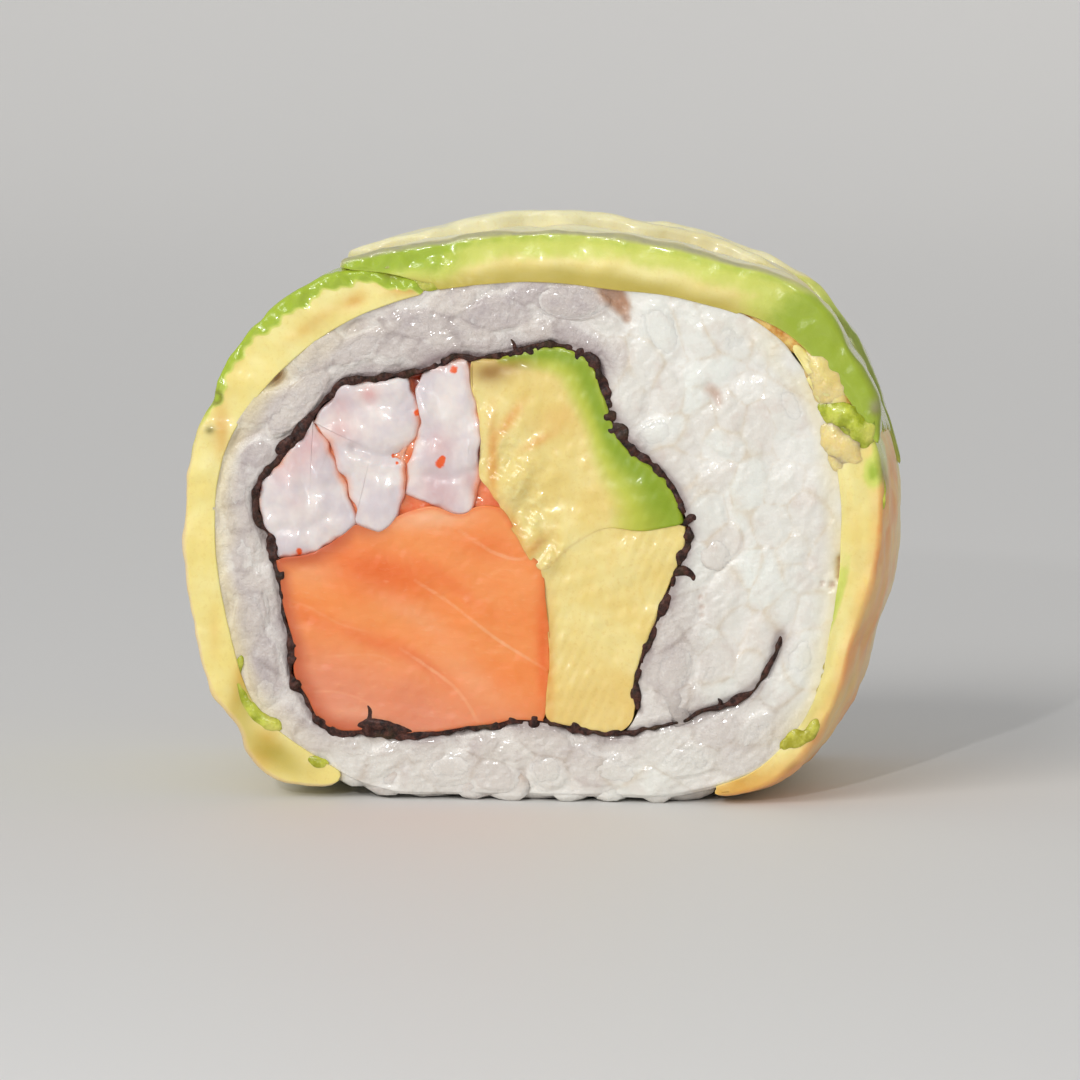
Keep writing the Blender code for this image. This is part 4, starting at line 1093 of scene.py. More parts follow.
def makeFilm():
    # a bar that fills the nori's loop behind the cuts of the filling, higher between the prawns
    film = fillingFilm
    paint = Paint("fillingFilm", softFlesh(0.3, 0.6, (1.0, 0.4, 0.25), 0.08))
    clot = paint.noise(0.7, 3, 0.6)
    color = paint.mix(paint.step(clot, 0.35, 0.7), tone(214, 138, 60), tone(234, 172, 92))
    color = paint.mix(paint.attribute("orange"), color, paint.mix(clot, tone(226, 96, 44), tone(244, 160, 112)))
    # painted shadow: dark red in the hollows between the prawns, over the red juice
    color = paint.mix(paint.attribute("hollow"), color, paint.mix(clot, tone(96, 26, 12), tone(178, 62, 26)))
    # painted shade: dark brown along the nori
    color = paint.mix(paint.attribute("rim"), color, tone(66, 34, 24))
    look = paint.finish(color=color, roughness=0.3, coat=0.6, normal=paint.bump(clot, 0.4, 0.2))
    angles = np.linspace(-np.pi, np.pi, 320, endpoint=False)
    ways = np.stack([np.cos(angles), np.sin(angles)], 1)
    outline = loopCenter + ways * (loopRadius(angles) - film["inset"])[:, None]
    grid, normal, ends, _ = barGrid(outline, loopCenter, film["reach"], 0.2, 44, 10)
    x, z = grid[..., 0], grid[..., 2]
    orange = smooth(z + 0.15 * x, 17.0, 19.0) * smooth(x, -1.2, -2.8)
    # the hollows, sunk and painted dark as shadow
    hollow = np.clip(sum(spot(x, z, px, pz, wide, tall) for px, pz, wide, tall in film["hollow"]) * 1.3, 0, 1)
    raised = (film["proud"] * orange - 0.35 * hollow + 0.06 * ripples(grid, 1.1, 88)) * smooth(np.abs(ends), 0.5, 1.0)
    # painted shade beside the nori
    rim = smooth(distanceTo(x, z, noriFine)[0], 0.7, 0.3)
    grid = grid + normal * raised[..., None]
    tints = {"orange": orange, "hollow": hollow, "rim": rim * (1 - hollow)}
    addPiece("fillingFilm", grid, look, [], tints)


makeSalmon()
makePrawns()
makeStrips()
makeFilm()
print("roll: filling")

# ---- the cover of avocado slices

topUnder = [(18, 2.8), (23, 2.2), (29, 1.55), (34, 1.15), (38, 0.95), (42, 0.68), (46, 0.35), (50, 0.05), (54, -0.12),
            (107, -0.12), (111, 0.3), (115, 0.9), (119, 1.9), (123, 2.85), (128, 3.5)]
# heights above the rice at angles round the roll's middle, from +x towards the top; narrow and
# wavy, how far the slice's front and back edges draw in at its tips, and how wavy they run
coverSlices = {
    "avocado_side_left": {
        "piece": "avocadoSideLeft", "front": -12.94, "back": 12.94, "sinks": 0.0,
        "narrow": (0.0, 0.0), "wavy": (0.05, 0.05),
        "over": [(115, 0.9), (119, 1.9), (123, 2.9), (128, 3.6), (135, 3.7), (148, 3.5), (154, 2.9),
                 (160, 2.4), (173, 2.2), (189, 2.4), (202, 2.5), (211, 1.8), (216, 2.7), (222, 3.0), (229, 1.4)],
        "under": [(115, -0.1), (222, -0.12), (229, 0.2)],
    },
    "avocado_side_right": {
        "piece": "avocadoSideRight", "front": -12.94, "back": 12.94, "sinks": 0.0,
        "narrow": (0.0, 0.0), "wavy": (0.05, 0.05),
        "over": [(-54, 0.8), (-49, 1.2), (-41, 1.4), (-31, 1.4), (-17, 1.7), (-3, 2.5), (11, 2.9), (19, 2.7),
                 (24, 2.0), (30, 1.5), (38, 0.8)],
        "under": [(-54, 0.1), (-48, -0.12), (26, -0.12), (30, 0.0), (38, 0.25)],
    },
    "avocado_top_front": {
        "piece": "avocadoTopFront", "front": -13.0, "back": -8.5, "sinks": 0.0,
        "narrow": (0.0, 1.3), "wavy": (0.05, 0.2),
        "over": [(18, 3.25), (24, 3.7), (31, 3.6), (39, 3.9), (48, 3.9), (57, 3.5), (67, 3.6), (80, 3.7),
                 (93, 3.5), (108, 3.4), (118, 3.7), (125, 4.2)],
        "under": topUnder[:-2] + [(125, 3.3)],
    },
    "avocado_top_middle": {
        "piece": "avocadoTopMiddle", "front": -8.2, "back": 2.2, "sinks": 0.6,
        "narrow": (1.4, 1.8), "wavy": (0.2, 0.22),
        "over": [(18, 3.1), (25, 3.0), (35, 3.0), (46, 3.6), (58, 4.2), (68, 4.4), (80, 4.6), (95, 4.5), (110, 4.2),
                 (119, 4.2), (125, 4.4)],
        "under": topUnder[:-2] + [(125, 3.3)],
    },
    "avocado_top_back": {
        "piece": "avocadoTopBack", "front": 2.5, "back": 13.0, "sinks": 0.7,
        "narrow": (1.6, 0.0), "wavy": (0.22, 0.05),
        "over": [(13, 3.15), (22, 3.2), (33, 3.3), (46, 3.7), (60, 4.0), (80, 4.2), (95, 4.3), (110, 4.1),
                 (119, 4.3), (128, 4.6)],
        "under": [(13, 2.85)] + topUnder,
    },
}


def coverLook():
    paint = Paint("avocadoCover", softFlesh(0.4, 0.5, (0.9, 0.82, 0.35), 0.1))
    cloud = paint.noise(4.0, 3, 0.55)
    mush = paint.noise(0.9, 4, 0.6, offset=6)
    strand = paint.add("ShaderNodeCombineXYZ", {}, {
        "X": paint.attribute("arc") * 0.16, "Y": paint.attribute("below") * 1.1, "Z": paint.y * 0.3})
    thread = paint.add("ShaderNodeTexNoise", {}, {"Vector": strand, "Scale": 1.0, "Detail": 3.0, "Roughness": 0.6})
    color = paint.mix(paint.step(cloud, 0.3, 0.7), tone(245, 226, 140), tone(249, 237, 166))
    color = paint.mix(paint.attribute("cream"), color, paint.mix(cloud, tone(246, 240, 192), tone(251, 246, 210)))
    # tan: the right flank's peach colour, with painted shade where the flank turns from the light
    shadedTan = paint.mix(paint.step(paint.noise(2.2, 3, 0.6, offset=8), 0.4, 0.65), tone(250, 174, 100), tone(255, 198, 120))
    color = paint.mix(paint.attribute("shadedTan") * (0.75 + cloud * 0.4), color, shadedTan)
    color = paint.mix(paint.step(thread, 0.55, 0.8) * 0.25, color, tone(236, 204, 122))
    color = paint.mix(paint.attribute("amber") * (0.5 + mush * 0.7), color, tone(224, 164, 58))
    grit = paint.noise(0.3, 3, 0.7, offset=17)
    color = paint.mix(paint.step(grit, 0.5, 0.75) * 0.25, color, tone(224, 192, 104))
    peel = paint.add("ShaderNodeCombineXYZ", {}, {"X": paint.attribute("arc") * 0.14, "Y": paint.y * 0.8})
    streak = paint.add("ShaderNodeTexNoise", {}, {"Vector": peel, "Scale": 1.0, "Detail": 4.0, "Roughness": 0.65})
    color = paint.mix(paint.step(streak, 0.5, 0.7) * 0.35, color, tone(226, 206, 128))
    green = paint.attribute("green") + (mush - 0.5) * 0.35 + (streak - 0.5) * 0.5
    color = paint.mix(paint.step(green, 0.15, 0.6), color, tone(218, 224, 112))
    color = paint.mix(paint.step(green, 0.6, 1.05) * 0.9, color, tone(166, 192, 52))
    color = paint.mix(paint.attribute("olive") * (0.6 + cloud * 0.5), color, tone(190, 172, 72))
    color = paint.mix(paint.attribute("dark") * (0.6 + mush * 0.6), color, tone(112, 104, 30))
    # painted shade: gray along the rims of the top slices, where the crown behind meets the front slice
    color = paint.mix(paint.attribute("rimShadeGray") * (0.5 + mush * 0.6), color, tone(178, 174, 138))
    color = paint.mix(paint.attribute("pink") * 0.6, color, tone(222, 176, 150))
    wet = paint.step(green, 0.2, 0.8)
    normal = paint.bump(mush * (0.2 + wet * 0.6) + thread * 0.25, 0.3, 0.2)
    return paint.finish(color=color, roughness=0.4 - wet * 0.16, coat=0.2 + wet * 0.4, normal=normal)


def heightsAt(table, degrees):
    fine = smoothLine(table, 240, closed=False)
    return np.interp(degrees, fine[:, 0], fine[:, 1])


def makeSlice(node, form, look):
    # a leaf on the middle line of the slice's section, angle by angle round the roll
    first, last = form["over"][0][0], form["over"][-1][0]
    degrees = np.linspace(first - 0.6, last + 0.6, 300)
    inTable = np.clip(degrees, first, last)
    over, under = heightsAt(form["over"], inTable), heightsAt(form["under"], inTable)
    angles = np.radians(degrees)
    base = riceRadius(angles)
    ways = np.stack([np.cos(angles), np.sin(angles)], 1)
    arc = base * angles
    seed = abs(first) + len(form["over"])
    middle, thick = base + (over + under) / 2, (over - under) / 2
    toTip = np.minimum(degrees - degrees[0], degrees[-1] - degrees) / 57.3 * base
    tip = np.clip(toTip / 0.55, 0, 1)
    thick = thick * np.sqrt(tip * (2 - tip))
    line = np.array(roll["middle"]) + ways * middle[:, None]
    drawnIn = 1 - np.sqrt(1 - np.clip(1 - toTip / 4.0, 0, 1) ** 2)
    along = arc[:, None] * [1, 0]
    front = form["front"] + form["wavy"][0] * ripples(along, 4.0, seed + 2) + form["narrow"][0] * drawnIn
    back = form["back"] + form["wavy"][1] * ripples(along, 4.0, seed + 3) - form["narrow"][1] * drawnIn
    grid, normal, placed, across = leafGrid(line, ways, thick, front, back, 16, 64, 0.4, 5, 0.1)
    x, y, z = np.moveaxis(grid, -1, 0)
    share = (y - form["front"]) / (form["back"] - form["front"])
    # the two ends run unevenly between the cuts
    torn = 0.32 * ripples(grid[..., 1:2] * [1, 0], 5.0, seed + 6) * smooth(toTip, 4.0, 0.0)[:, None]
    torn = torn * smooth(y, -12.9, -10.5) * smooth(y, 12.9, 10.5)
    grid[..., 0] -= ways[:, None, 1] * torn
    grid[..., 2] += ways[:, None, 0] * torn
    x, z = grid[..., 0].copy(), grid[..., 2].copy()
    outside = np.clip(normal[..., 0] * ways[:, None, 0] + normal[..., 2] * ways[:, None, 1], 0, 1)
    tipShare = np.linspace(0, np.pi, len(degrees))[:, None]
    sink = form["sinks"] * np.clip(share, 0, 1) * np.sin(tipShare) * (placed + 1) / 2
    relief = 0.07 * ripples(grid, 6.0, seed + 3) + 0.03 * ripples(grid, 2.2, seed + 7) + 0.012 * ripples(grid, 1.2, seed + 4)
    relief = relief * smooth(thick, 0.0, 0.8)[:, None] * (0.25 + 0.75 * smooth(placed, -0.9, -0.3))
    ridges = ripples(np.stack([np.broadcast_to(arc[:, None] * 0.2, y.shape), y], -1), 2.8, seed + 8)
    relief = relief + 0.04 * ridges * outside * smooth(thick, 0.0, 0.8)[:, None]
    crease = spot(degrees[:, None] - 2.5 * np.sin(0.45 * y), 0, 211, 0, 3.5) * smooth(y, -12, -7) * outside
    relief = relief + crease * (0.5 + 0.2 * ridges)
    angle = np.broadcast_to(degrees[:, None], x.shape)
    belowSkin = thick[:, None] - across  # millimetres in from the outer face
    onFront, onCut = np.clip(-normal[..., 1], 0, 1), np.abs(normal[..., 1])
    tints = {name: np.zeros(x.shape) for name in
             ("green", "cream", "shadedTan", "amber", "olive", "dark", "rimShadeGray", "pink", "lumpy")}
    paintSlice(node, tints, angle, belowSkin, onFront, onCut, outside, share, x, y, z)
    tipped = np.minimum(1, thick / 0.1)[:, None]  # nothing stands out at the very tips, so that they close
    relief = relief + tints.pop("lumpy") * (0.07 * ripples(grid, 1.0, seed + 5) + 0.03) * tipped
    grid = grid + normal * relief[..., None]
    fromCut = np.minimum(y - form["front"], form["back"] - y)
    sink = sink - 0.04 * ripples(along, 2.6, seed)[:, None] * np.exp(-np.maximum(fromCut, 0) / 1.2) * outside * tipped
    grid[..., 0] -= ways[:, None, 0] * sink
    grid[..., 2] -= ways[:, None, 1] * sink
    tints["arc"] = np.broadcast_to(arc[:, None], x.shape)
    tints["below"] = belowSkin
    tints = {name: values if name in ("arc", "below") else np.clip(values, 0, 1.2) for name, values in tints.items()}
    addPiece(form["piece"], grid, look, [node], tints)


def paintSlice(node, tints, angle, belowSkin, onFront, onCut, outside, share, x, y, z):
    # where each slice is green, ochre, tan or cream, from its place round the roll and its depth; the tan of the right
    # flank is partly painted shade, and the gray along the top slices' rims is painted shade
    if node == "avocado_side_left":
        patchy = ripples(np.stack([x, y, z], -1), 6.0, 36)
        upper = smooth(angle + 4 * patchy * outside, 164, 150)
        rimWidth = 0.75 + 0.45 * smooth(angle, 150, 135) + 0.18 * np.sin(angle * 0.9) + 0.12 * np.sin(angle * 2.3)
        lime = upper * smooth(belowSkin, rimWidth + 0.25, rimWidth - 0.3)
        tints["green"] = lime * (1.05 * onCut + 0.8 * outside * smooth(angle, 112, 128))
        tints["green"] += 1.1 * spot(x, z, -10.2, 38.2, 1.5, 0.8) * onFront
        tints["lumpy"] = lime * onCut + spot(x, z, -10.3, 38.0, 1.6, 1.0) * onFront
        tints["amber"] = (spot(x, z, -13.3, 35.9, 0.9, 0.5, 30) * 0.8 + spot(x, z, -16.2, 34.3, 2.0, 0.5, 35) * 0.5
                          + spot(x, z, -23.0, 26.6, 0.6, 1.8) * 0.8 + spot(x, z, -9.3, 37.0, 1.4, 0.5, 10) * 1.2
                          + spot(x, z, -19.9, 3.6, 1.0, 1.3) * 0.9 + spot(x, z, -22.6, 21.0, 0.5, 3.0) * 0.4
                          + spot(x, z, -21.6, 8.6, 0.6, 2.2, -12) * 0.9 + spot(x, z, -23.6, 12.0, 0.4, 2.0) * 0.3)
        ring = np.exp(-((np.hypot(x + 23.4, z - 28.9) - 0.42) / 0.16) ** 2)
        tints["dark"] = (0.8 * ring + spot(x, z, -23.8, 26.6, 0.35, 0.3) * 0.9 + spot(x, z, -10.6, 37.7, 0.8, 0.22, -8) * 1.1
                         + spot(x, z, -9.5, 38.4, 0.7, 0.25, -6) * 0.9) * onFront
        tints["green"] += onFront * 0.6 * spot(x, z, -23.4, 28.9, 0.5)
        tints["cream"] = outside * smooth(angle, 155, 175) * (0.5 + 0.2 * patchy)
        tints["green"] += outside * (0.3 + 0.25 * patchy) * smooth(angle, 185, 160)
        tints["olive"] = 0.9 * spot(x, z, -21.4, 7.0, 1.2, 2.6, -14) + 1.1 * spot(x, z, -19.2, 3.2, 2.6, 1.1, -30)
        tints["olive"] *= 1 - outside * (0.75 - 0.25 * patchy)
        tints["pink"] = outside * smooth(share, 0.03, 0.0) * smooth(angle, 150, 170)
    elif node == "avocado_side_right":
        patchy = ripples(np.stack([x, y, z], -1), 6.0, 35)
        # tan on the outer flank: its peach colour with painted shade, as it turns from the light
        tints["shadedTan"] = (outside * (0.9 * smooth(angle + 3 * patchy, 26, 8) - 0.12 * patchy) * (1 - 0.6 * smooth(y + 2 * patchy, -10, 0))
                        + onFront * smooth(belowSkin, 1.3, 0.1) * 0.5 * smooth(angle, 24, 8))
        tints["cream"] = outside * 0.4 * smooth(y + 2 * patchy, -9, 2) * (1 + 0.3 * patchy)
        tints["green"] = (spot(angle, y, 17, -11.5, 5.0, 2.5) * outside * 0.8 + spot(angle, y, 14, 4.0, 7.0, 5.0) * outside * 0.5
                          + spot(x, z, 23.6, 24.0, 0.7, 1.2) * onFront)
        tints["green"] += 0.75 * smooth(belowSkin, 1.5, 2.1) * onFront * smooth(angle, 4, -10) * smooth(angle, -44, -30)
        tints["green"] += 0.7 * smooth(belowSkin + 0.2 * patchy, 1.0, 0.3) * (onCut - onFront)
        tints["amber"] = (spot(x, z, 20.3, 32.6, 1.2, 0.9, -45) * 0.9 + spot(x, z, 22.3, 28.9, 1.0, 0.8) * 0.8
                          + spot(x, z, 21.4, 30.6, 0.5, 1.0, 20) * 0.9 + spot(x, z, 22.6, 18.0, 0.5, 2.4) * 0.2
                          + onFront * smooth(angle, -38, -50) * 0.9 + spot(x, z, 22.6, 12.0, 0.35, 2.5) * 0.35)
        tints["dark"] = spot(angle, y, 12, -12.5, 3.0, 1.2) * outside * 0.7 + spot(x, z, 18.3, 2.6, 0.9, 0.5, 40) * onFront
        tints["pink"] = outside * smooth(angle, 8, -10) * 0.35
        tints["lumpy"] = onFront * smooth(angle, 14, 24)
    else:
        first = node == "avocado_top_front"
        depthIn = np.clip(belowSkin, 0, 4)
        patchy = ripples(np.stack([x, y, z], -1), 5.0, 33)
        rightEnd = smooth(angle + (2.5 * patchy * outside), 56, 40)
        if first:
            lime = smooth(depthIn + 0.15 * patchy, 2.9, 1.3)
            tints["green"] = onFront * np.maximum(lime * (0.5 + 0.25 * smooth(depthIn, 1.2, 0.5)), rightEnd * 1.05) + 0.5 * onFront * smooth(angle, 100, 112)
            tints["olive"] = onFront * smooth(depthIn + 0.15 * patchy, 2.1, 3.3) * (1 - 0.9 * rightEnd)
            # painted shade: a gray line along the top of the front face, under the crown
            tints["rimShadeGray"] = onFront * smooth(depthIn, 0.42, 0.15) * 0.9 * (1 - rightEnd) + spot(x, z, 23.8, 28.6, 0.4, 0.5) * onFront
            # amber: a browned spot, and low on the front face beside the gap over the rice, painted shade
            tints["amber"] = spot(x, z, -9.2, 36.9, 1.5, 0.4, 8) * onFront + onFront * smooth(depthIn, 3.0, 3.8) * 0.4
            tints["dark"] = spot(x, z, 23.8, 28.4, 0.35, 0.45) * onFront * 0.8 + 0.18 * onFront * rightEnd
            tints["lumpy"] = onFront * smooth(angle, 100, 112) * 0.6
        else:
            # painted shade on the front faces of the slices behind the front one
            tints["rimShadeGray"] = onFront * smooth(depthIn, 1.2, 0.3) * 0.3
            tints["green"] = (onFront * rightEnd * 0.7
                              + (onCut - onFront) * smooth(depthIn + 0.2 * patchy, 2.6, 0.8) * (0.75 + 0.3 * rightEnd))
        edge = smooth(share, 0.22, 0.04) if first else 0.0 * share
        # and painted shade on the outer face near the front edge
        tints["rimShadeGray"] += outside * edge * 0.75 * (1 - rightEnd)
        streak = smooth(np.sin(angle * 0.55 + 2.2 * np.sin(y * 0.5)) + 0.5 * np.sin(angle * 1.7 + y), 0.9, 1.5)
        tints["green"] += outside * (rightEnd * 0.75 * smooth(angle, 50, 34) + 0.18 * streak)
        tints["cream"] = np.clip(outside * (1 - edge) + (0 if first else 1) * onFront, 0, 1) * (1 - rightEnd)
        tints["pink"] = outside * smooth(share, 0.8, 1.0) * 0.5 * smooth(angle, 40, 60)
        tints["dark"] += outside * rightEnd * smooth(angle, 40, 30) * 0.35


coverMaterial = coverLook()
for node, form in coverSlices.items():
    makeSlice(node, form, coverMaterial)
print("roll: cover")

def alongRice(y, places):
    # points beside the rice's rim, from degrees round the roll's middle, height above the rice and radius
    turned = [(math.radians(degrees), riceRadius(math.radians(degrees)) + height, radius)
              for degrees, height, radius in places]
    return [(middleX + away * math.cos(angle), y, middleZ + away * math.sin(angle), radius)
            for angle, away, radius in turned]


# crushed avocado squeezed out between the cover and the rice: paths of x, y, z and radius, and how
# far each has turned amber; the amber of the one under the top front slice is painted shade
mashPaths = [
    (0.1, [(-21.6, -12.75, 10.6, 0.22), (-21.9, -12.8, 8.8, 0.34), (-21.4, -12.8, 7.2, 0.36), (-20.6, -12.8, 6.0, 0.5),
           (-19.6, -12.8, 5.4, 0.7), (-18.7, -12.8, 5.0, 0.5)]),
    (0.2, [(-17.1, -12.8, 2.9, 0.3), (-16.2, -12.85, 2.6, 0.42), (-15.3, -12.8, 2.5, 0.3)]),
    (0.0, [(19.6, -12.8, 28.7, 0.5), (20.7, -12.8, 28.2, 0.9), (21.9, -12.8, 27.5, 1.25), (22.8, -12.75, 26.5, 1.1),
           (23.2, -12.7, 25.4, 0.5)]),
    (0.0, [(20.8, -12.85, 27.4, 0.4), (21.6, -12.9, 26.9, 0.6), (22.4, -12.85, 26.2, 0.5)]),
    (2.0, [(19.9, -12.7, 27.4, 0.6), (20.8, -12.7, 26.6, 1.2), (21.6, -12.65, 25.4, 1.3), (22.1, -12.6, 24.0, 0.9)]),
    (2.0, [(20.4, -12.75, 26.0, 0.4), (21.0, -12.75, 25.0, 0.7), (21.4, -12.7, 23.8, 0.5)]),
    (0.0, [(23.7, -12.7, 24.4, 0.3), (24.0, -12.6, 23.2, 0.45), (24.1, -12.6, 21.9, 0.45), (24.0, -12.5, 21.0, 0.25)]),
    (0.3, [(17.2, -12.8, 3.9, 0.4), (18.2, -12.85, 4.8, 0.65), (19.2, -12.85, 5.3, 0.5), (19.9, -12.8, 6.4, 0.3)]),
    (0.5, [(19.7, -12.75, 7.4, 0.2), (20.1, -12.75, 9.2, 0.26), (20.5, -12.75, 11.0, 0.2)]),
    (0.1, [(-12.0, -12.8, 38.2, 0.25), (-10.8, -12.85, 38.3, 0.36), (-9.6, -12.8, 37.9, 0.26)]),
    # painted shade: this orange-brown smear fills the shadowed gap under the top front slice
    (1.0, [(13.2, -12.6, 35.6, 0.2), (15.0, -12.5, 34.9, 0.4), (16.7, -12.45, 33.9, 0.6), (18.1, -12.45, 32.7, 0.6),
           (18.9, -12.45, 31.7, 0.4)]),
    (2.0, [(18.6, -12.65, 32.4, 0.5), (19.7, -12.65, 31.2, 1.1), (20.5, -12.7, 29.9, 1.3), (21.2, -12.7, 28.6, 1.0)]),
    (1.4, [(18.8, -12.75, 31.4, 0.4), (19.6, -12.75, 30.4, 0.7), (20.2, -12.75, 29.2, 0.6)]),
    (0.0, [(-9.9, -12.7, 37.0, 0.3), (-8.7, -12.75, 37.1, 0.5), (-7.5, -12.75, 37.2, 0.5), (-6.2, -12.7, 37.5, 0.3)]),
    (1.8, [(19.4, 12.6, 28.6, 0.3), (20.4, 12.7, 27.6, 0.45), (21.2, 12.6, 26.4, 0.35)]),
    (1.2, alongRice(12.75, [(51, 0.0, 0.15), (47, 0.12, 0.3), (43, 0.3, 0.45), (38, 0.45, 0.65), (34, 0.4, 0.65),
                            (30, 0.1, 0.4), (27, 0.0, 0.2)])),
    (1.7, alongRice(12.75, [(105, 0.0, 0.2), (109, 0.08, 0.35), (112, 0.25, 0.5), (115, 0.25, 0.45), (118, 0.0, 0.25)])),
    (1.6, [(-21.0, 12.5, 7.6, 0.25), (-20.0, 12.6, 6.0, 0.4), (-18.9, 12.5, 5.2, 0.3)]),
]
noriScraps = [  # shreds torn off the sheet's edge, the same way
    (0, [(10.2, -12.9, 20.0, 0.2), (10.8, -12.94, 20.6, 0.24), (11.3, -12.9, 20.5, 0.14)]),
    (0, [(9.5, -12.9, 16.5, 0.26), (10.2, -12.96, 16.8, 0.32), (10.8, -12.9, 16.5, 0.24), (11.0, -12.84, 16.0, 0.1)]),
    (0, [(-13.6, -12.85, 5.2, 0.2), (-12.6, -12.9, 5.5, 0.36), (-11.6, -12.9, 5.5, 0.4), (-10.4, -12.88, 5.2, 0.26),
         (-9.2, -12.85, 5.0, 0.16)]),
    (0, [(-12.4, -12.9, 5.7, 0.3), (-12.3, -12.9, 6.4, 0.18), (-12.5, -12.88, 6.9, 0.08)]),
    (0, [(-1.8, -12.8, 32.4, 0.16), (-1.9, -12.86, 32.9, 0.1), (-2.1, -12.86, 33.2, 0.06)]),
    (0, [(-19.0, -12.8, 24.9, 0.3), (-18.4, -12.88, 25.6, 0.36), (-17.7, -12.85, 26.2, 0.24)]),
    (0, [(12.7, -12.8, 6.9, 0.14), (12.9, -12.86, 7.4, 0.14), (12.7, -12.85, 7.7, 0.06)]),
]


def mashLook():
    paint = Paint("avocadoMash", softFlesh(0.55, 0.8, (0.8, 0.9, 0.3), 0.06))
    lump = paint.noise(0.9, 4, 0.6)
    green = paint.mix(paint.step(lump, 0.35, 0.7), tone(160, 172, 24), tone(212, 220, 84))
    brown = paint.mix(paint.step(lump, 0.3, 0.65), tone(204, 136, 44), tone(244, 204, 122))
    color = paint.mix(paint.step(paint.attribute("amber"), 0.0, 1.0), green, brown)
    color = paint.mix(paint.step(paint.attribute("amber"), 1.0, 2.0), color, paint.mix(lump, tone(238, 200, 112), tone(250, 236, 174)))
    color = paint.mix(paint.step(paint.noise(1.8, 2, offset=4), 0.5, 0.75) * 0.4, color, tone(240, 226, 132))
    normal = paint.bump(lump, 0.6, 0.3)
    return paint.finish(color=color, roughness=0.22, coat=0.8, normal=normal)


def makeShreds(name, paths, look, columns, seed):
    # tubes along the paths, radius lumpy by ripples, flattened along y, drawn together at both ends
    rows = 46
    allPoints, allFaces, ambers = [], [], []
    turn = np.linspace(0, 2 * np.pi, columns, endpoint=False)
    index = np.arange(rows * columns).reshape(rows, columns)
    quads = np.stack([index[:-1], np.roll(index[:-1], -1, 1), np.roll(index[1:], -1, 1), index[1:]], -1).reshape(-1, 4)
    for number, (amber, path) in enumerate(paths):
        flat = smoothLine([(x, z, y, r) for x, y, z, r in path], rows, closed=False)
        out = leftOf(flat[:, :2], False)
        t = np.linspace(-1, 1, rows)
        radius = flat[:, 3] * np.sqrt(np.maximum(0, 1 - np.abs(t) ** 5))
        across = radius[:, None] * np.cos(turn)
        points = np.stack([flat[:, :1] + out[:, :1] * across, flat[:, 2:3] + 0.45 * radius[:, None] * np.sin(turn),
                           flat[:, 1:2] + out[:, 1:] * across], -1)
        core = np.stack([flat[:, 0], flat[:, 2], flat[:, 1]], -1)[:, None]
        swell = 1 + 0.12 * ripples(points, 1.8, seed + number) + 0.04 * ripples(points, 0.6, seed + 100 + number)
        points = core + (points - core) * swell[..., None]
        allFaces.append(quads + len(allPoints) * rows * columns)
        allPoints.append(points.reshape(-1, 3))
        ambers.append(np.full(rows * columns, amber))
    meshOf(name, np.vstack(allPoints), np.vstack(allFaces), look, [], {"amber": np.concatenate(ambers)})


makeShreds("avocadoMash", mashPaths, mashLook(), 18, 91)
makeShreds("noriScraps", noriScraps, noriMaterial, 14, 95)
print("roll: mash and scraps")

# ---- floor, light and camera

studio = {
    "azimuth": 6.0, "elevation": 5.4, "distance": 297.0, "lens": 138.9, "aim": (0.0, -13.0, 18.9),
    "floor": tone(228, 227, 225), "floorReach": 1.8, "floorRise": 1.6,
    "world": (0.97, 0.98, 1.0), "worldStrength": 0.44,
    "sun": {"from": (-0.50, -0.74, 0.60), "strength": 1.27, "angle": 30.0, "color": (1.0, 0.98, 0.95)},
    "spark": {"at": (-50, -300, 120), "size": 8, "power": 0.26, "color": (1.0, 1.0, 1.0)},
}


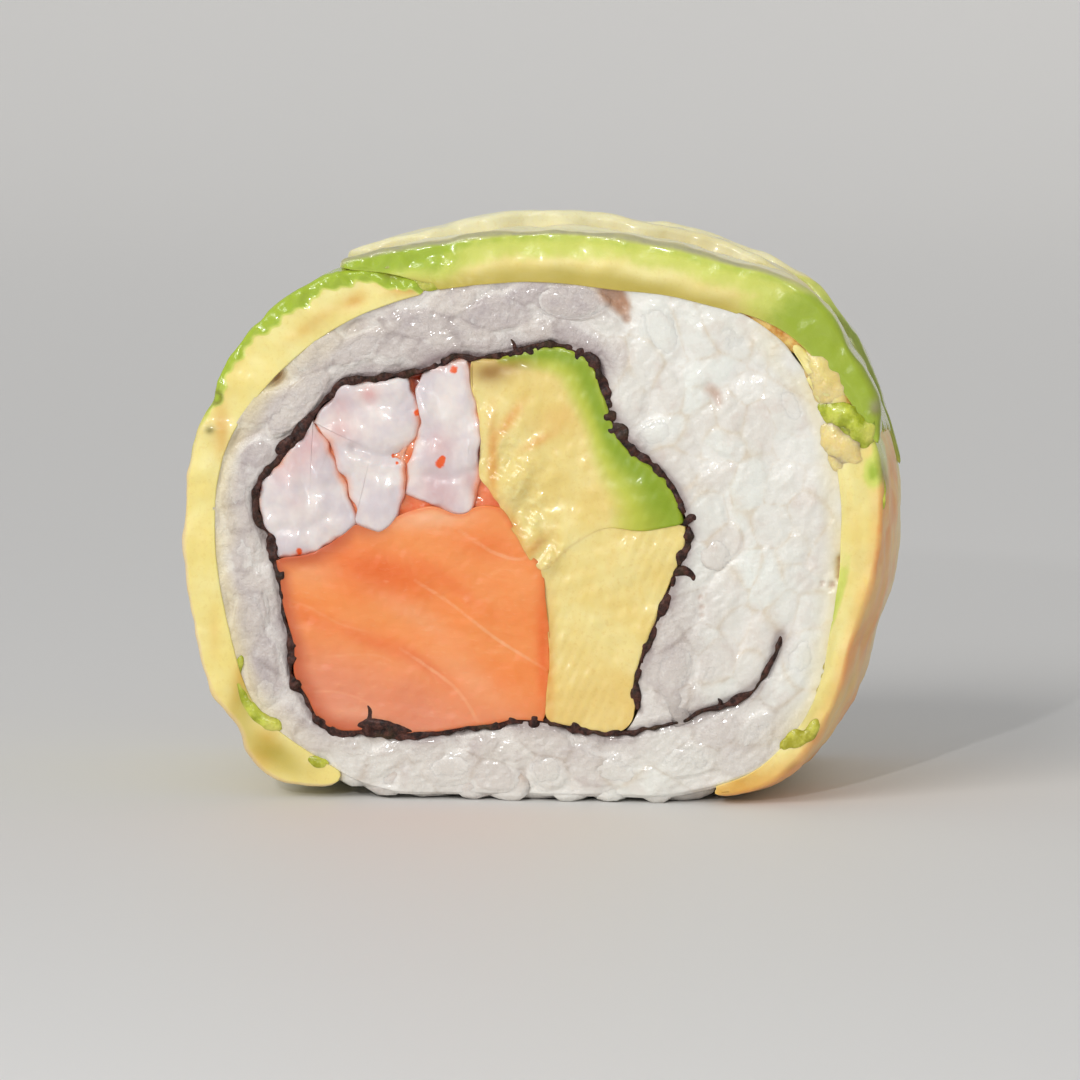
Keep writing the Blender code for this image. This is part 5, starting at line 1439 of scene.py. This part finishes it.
def makeStudio():
    # a round floor whose edge curls up into a low wall, in metres: the horizon stays out of sight
    reach, rise, around = studio["floorReach"], studio["floorRise"], 96
    turns = np.linspace(0, np.pi / 2, 17)
    radii = np.concatenate([[0.02, 0.3], reach + rise * np.sin(turns)])
    heights = np.concatenate([[0, 0], rise * (1 - np.cos(turns))])
    angles = np.linspace(0, 2 * np.pi, around, endpoint=False)
    points = np.stack([radii[:, None] * np.cos(angles), radii[:, None] * np.sin(angles),
                       np.broadcast_to(heights[:, None], (len(radii), around))], -1).reshape(-1, 3)
    index = np.arange(len(radii) * around).reshape(len(radii), around)
    quads = np.stack([index[:-1], index[1:], np.roll(index[1:], -1, 1), np.roll(index[:-1], -1, 1)], -1).reshape(-1, 4)
    data = bpy.data.meshes.new("floor")
    data.from_pydata(points, [], quads.tolist() + [list(range(around))])
    data.shade_smooth()
    floor = bpy.data.objects.new("floor", data)
    bpy.context.scene.collection.objects.link(floor)
    paint = Paint("paleFloor", {"Roughness": 0.6})
    data.materials.append(paint.finish(color=studio["floor"]))
    world = bpy.data.worlds.new("studioWorld")
    world.use_nodes = True
    background = world.node_tree.nodes["Background"]
    background.inputs["Color"].default_value = (*studio["world"], 1.0)
    background.inputs["Strength"].default_value = studio["worldStrength"]
    bpy.context.scene.world = world
    aim = Vector(studio["aim"]) * 0.001
    sun = bpy.data.lights.new("sun", "SUN")
    sun.energy, sun.angle, sun.color = studio["sun"]["strength"], math.radians(studio["sun"]["angle"]), studio["sun"]["color"]
    spark = bpy.data.lights.new("spark", "AREA")
    spark.shape, spark.size, spark.energy = "DISK", studio["spark"]["size"] * 0.001, studio["spark"]["power"]
    for light, place in ((sun, Vector(studio["sun"]["from"])), (spark, Vector(studio["spark"]["at"]) * 0.001)):
        lamp = bpy.data.objects.new(light.name, light)
        lamp.location = place
        lamp.rotation_euler = (aim - place).to_track_quat("-Z", "Y").to_euler()
        bpy.context.scene.collection.objects.link(lamp)
    a, e = math.radians(studio["azimuth"]), math.radians(studio["elevation"])
    back = Vector((math.sin(a) * math.cos(e), -math.cos(a) * math.cos(e), math.sin(e)))
    lens = bpy.data.cameras.new("camera")
    lens.lens, lens.sensor_width = studio["lens"], 36.0
    lens.clip_start, lens.clip_end = 0.01, 100.0
    camera = bpy.data.objects.new("camera", lens)
    camera.location = aim + back * studio["distance"] * 0.001
    camera.rotation_euler = (-back).to_track_quat("-Z", "Y").to_euler()
    bpy.context.scene.collection.objects.link(camera)
    bpy.context.scene.camera = camera
    bpy.context.scene.view_settings.view_transform = "Standard"


makeStudio()
print("roll: floor, light and camera")
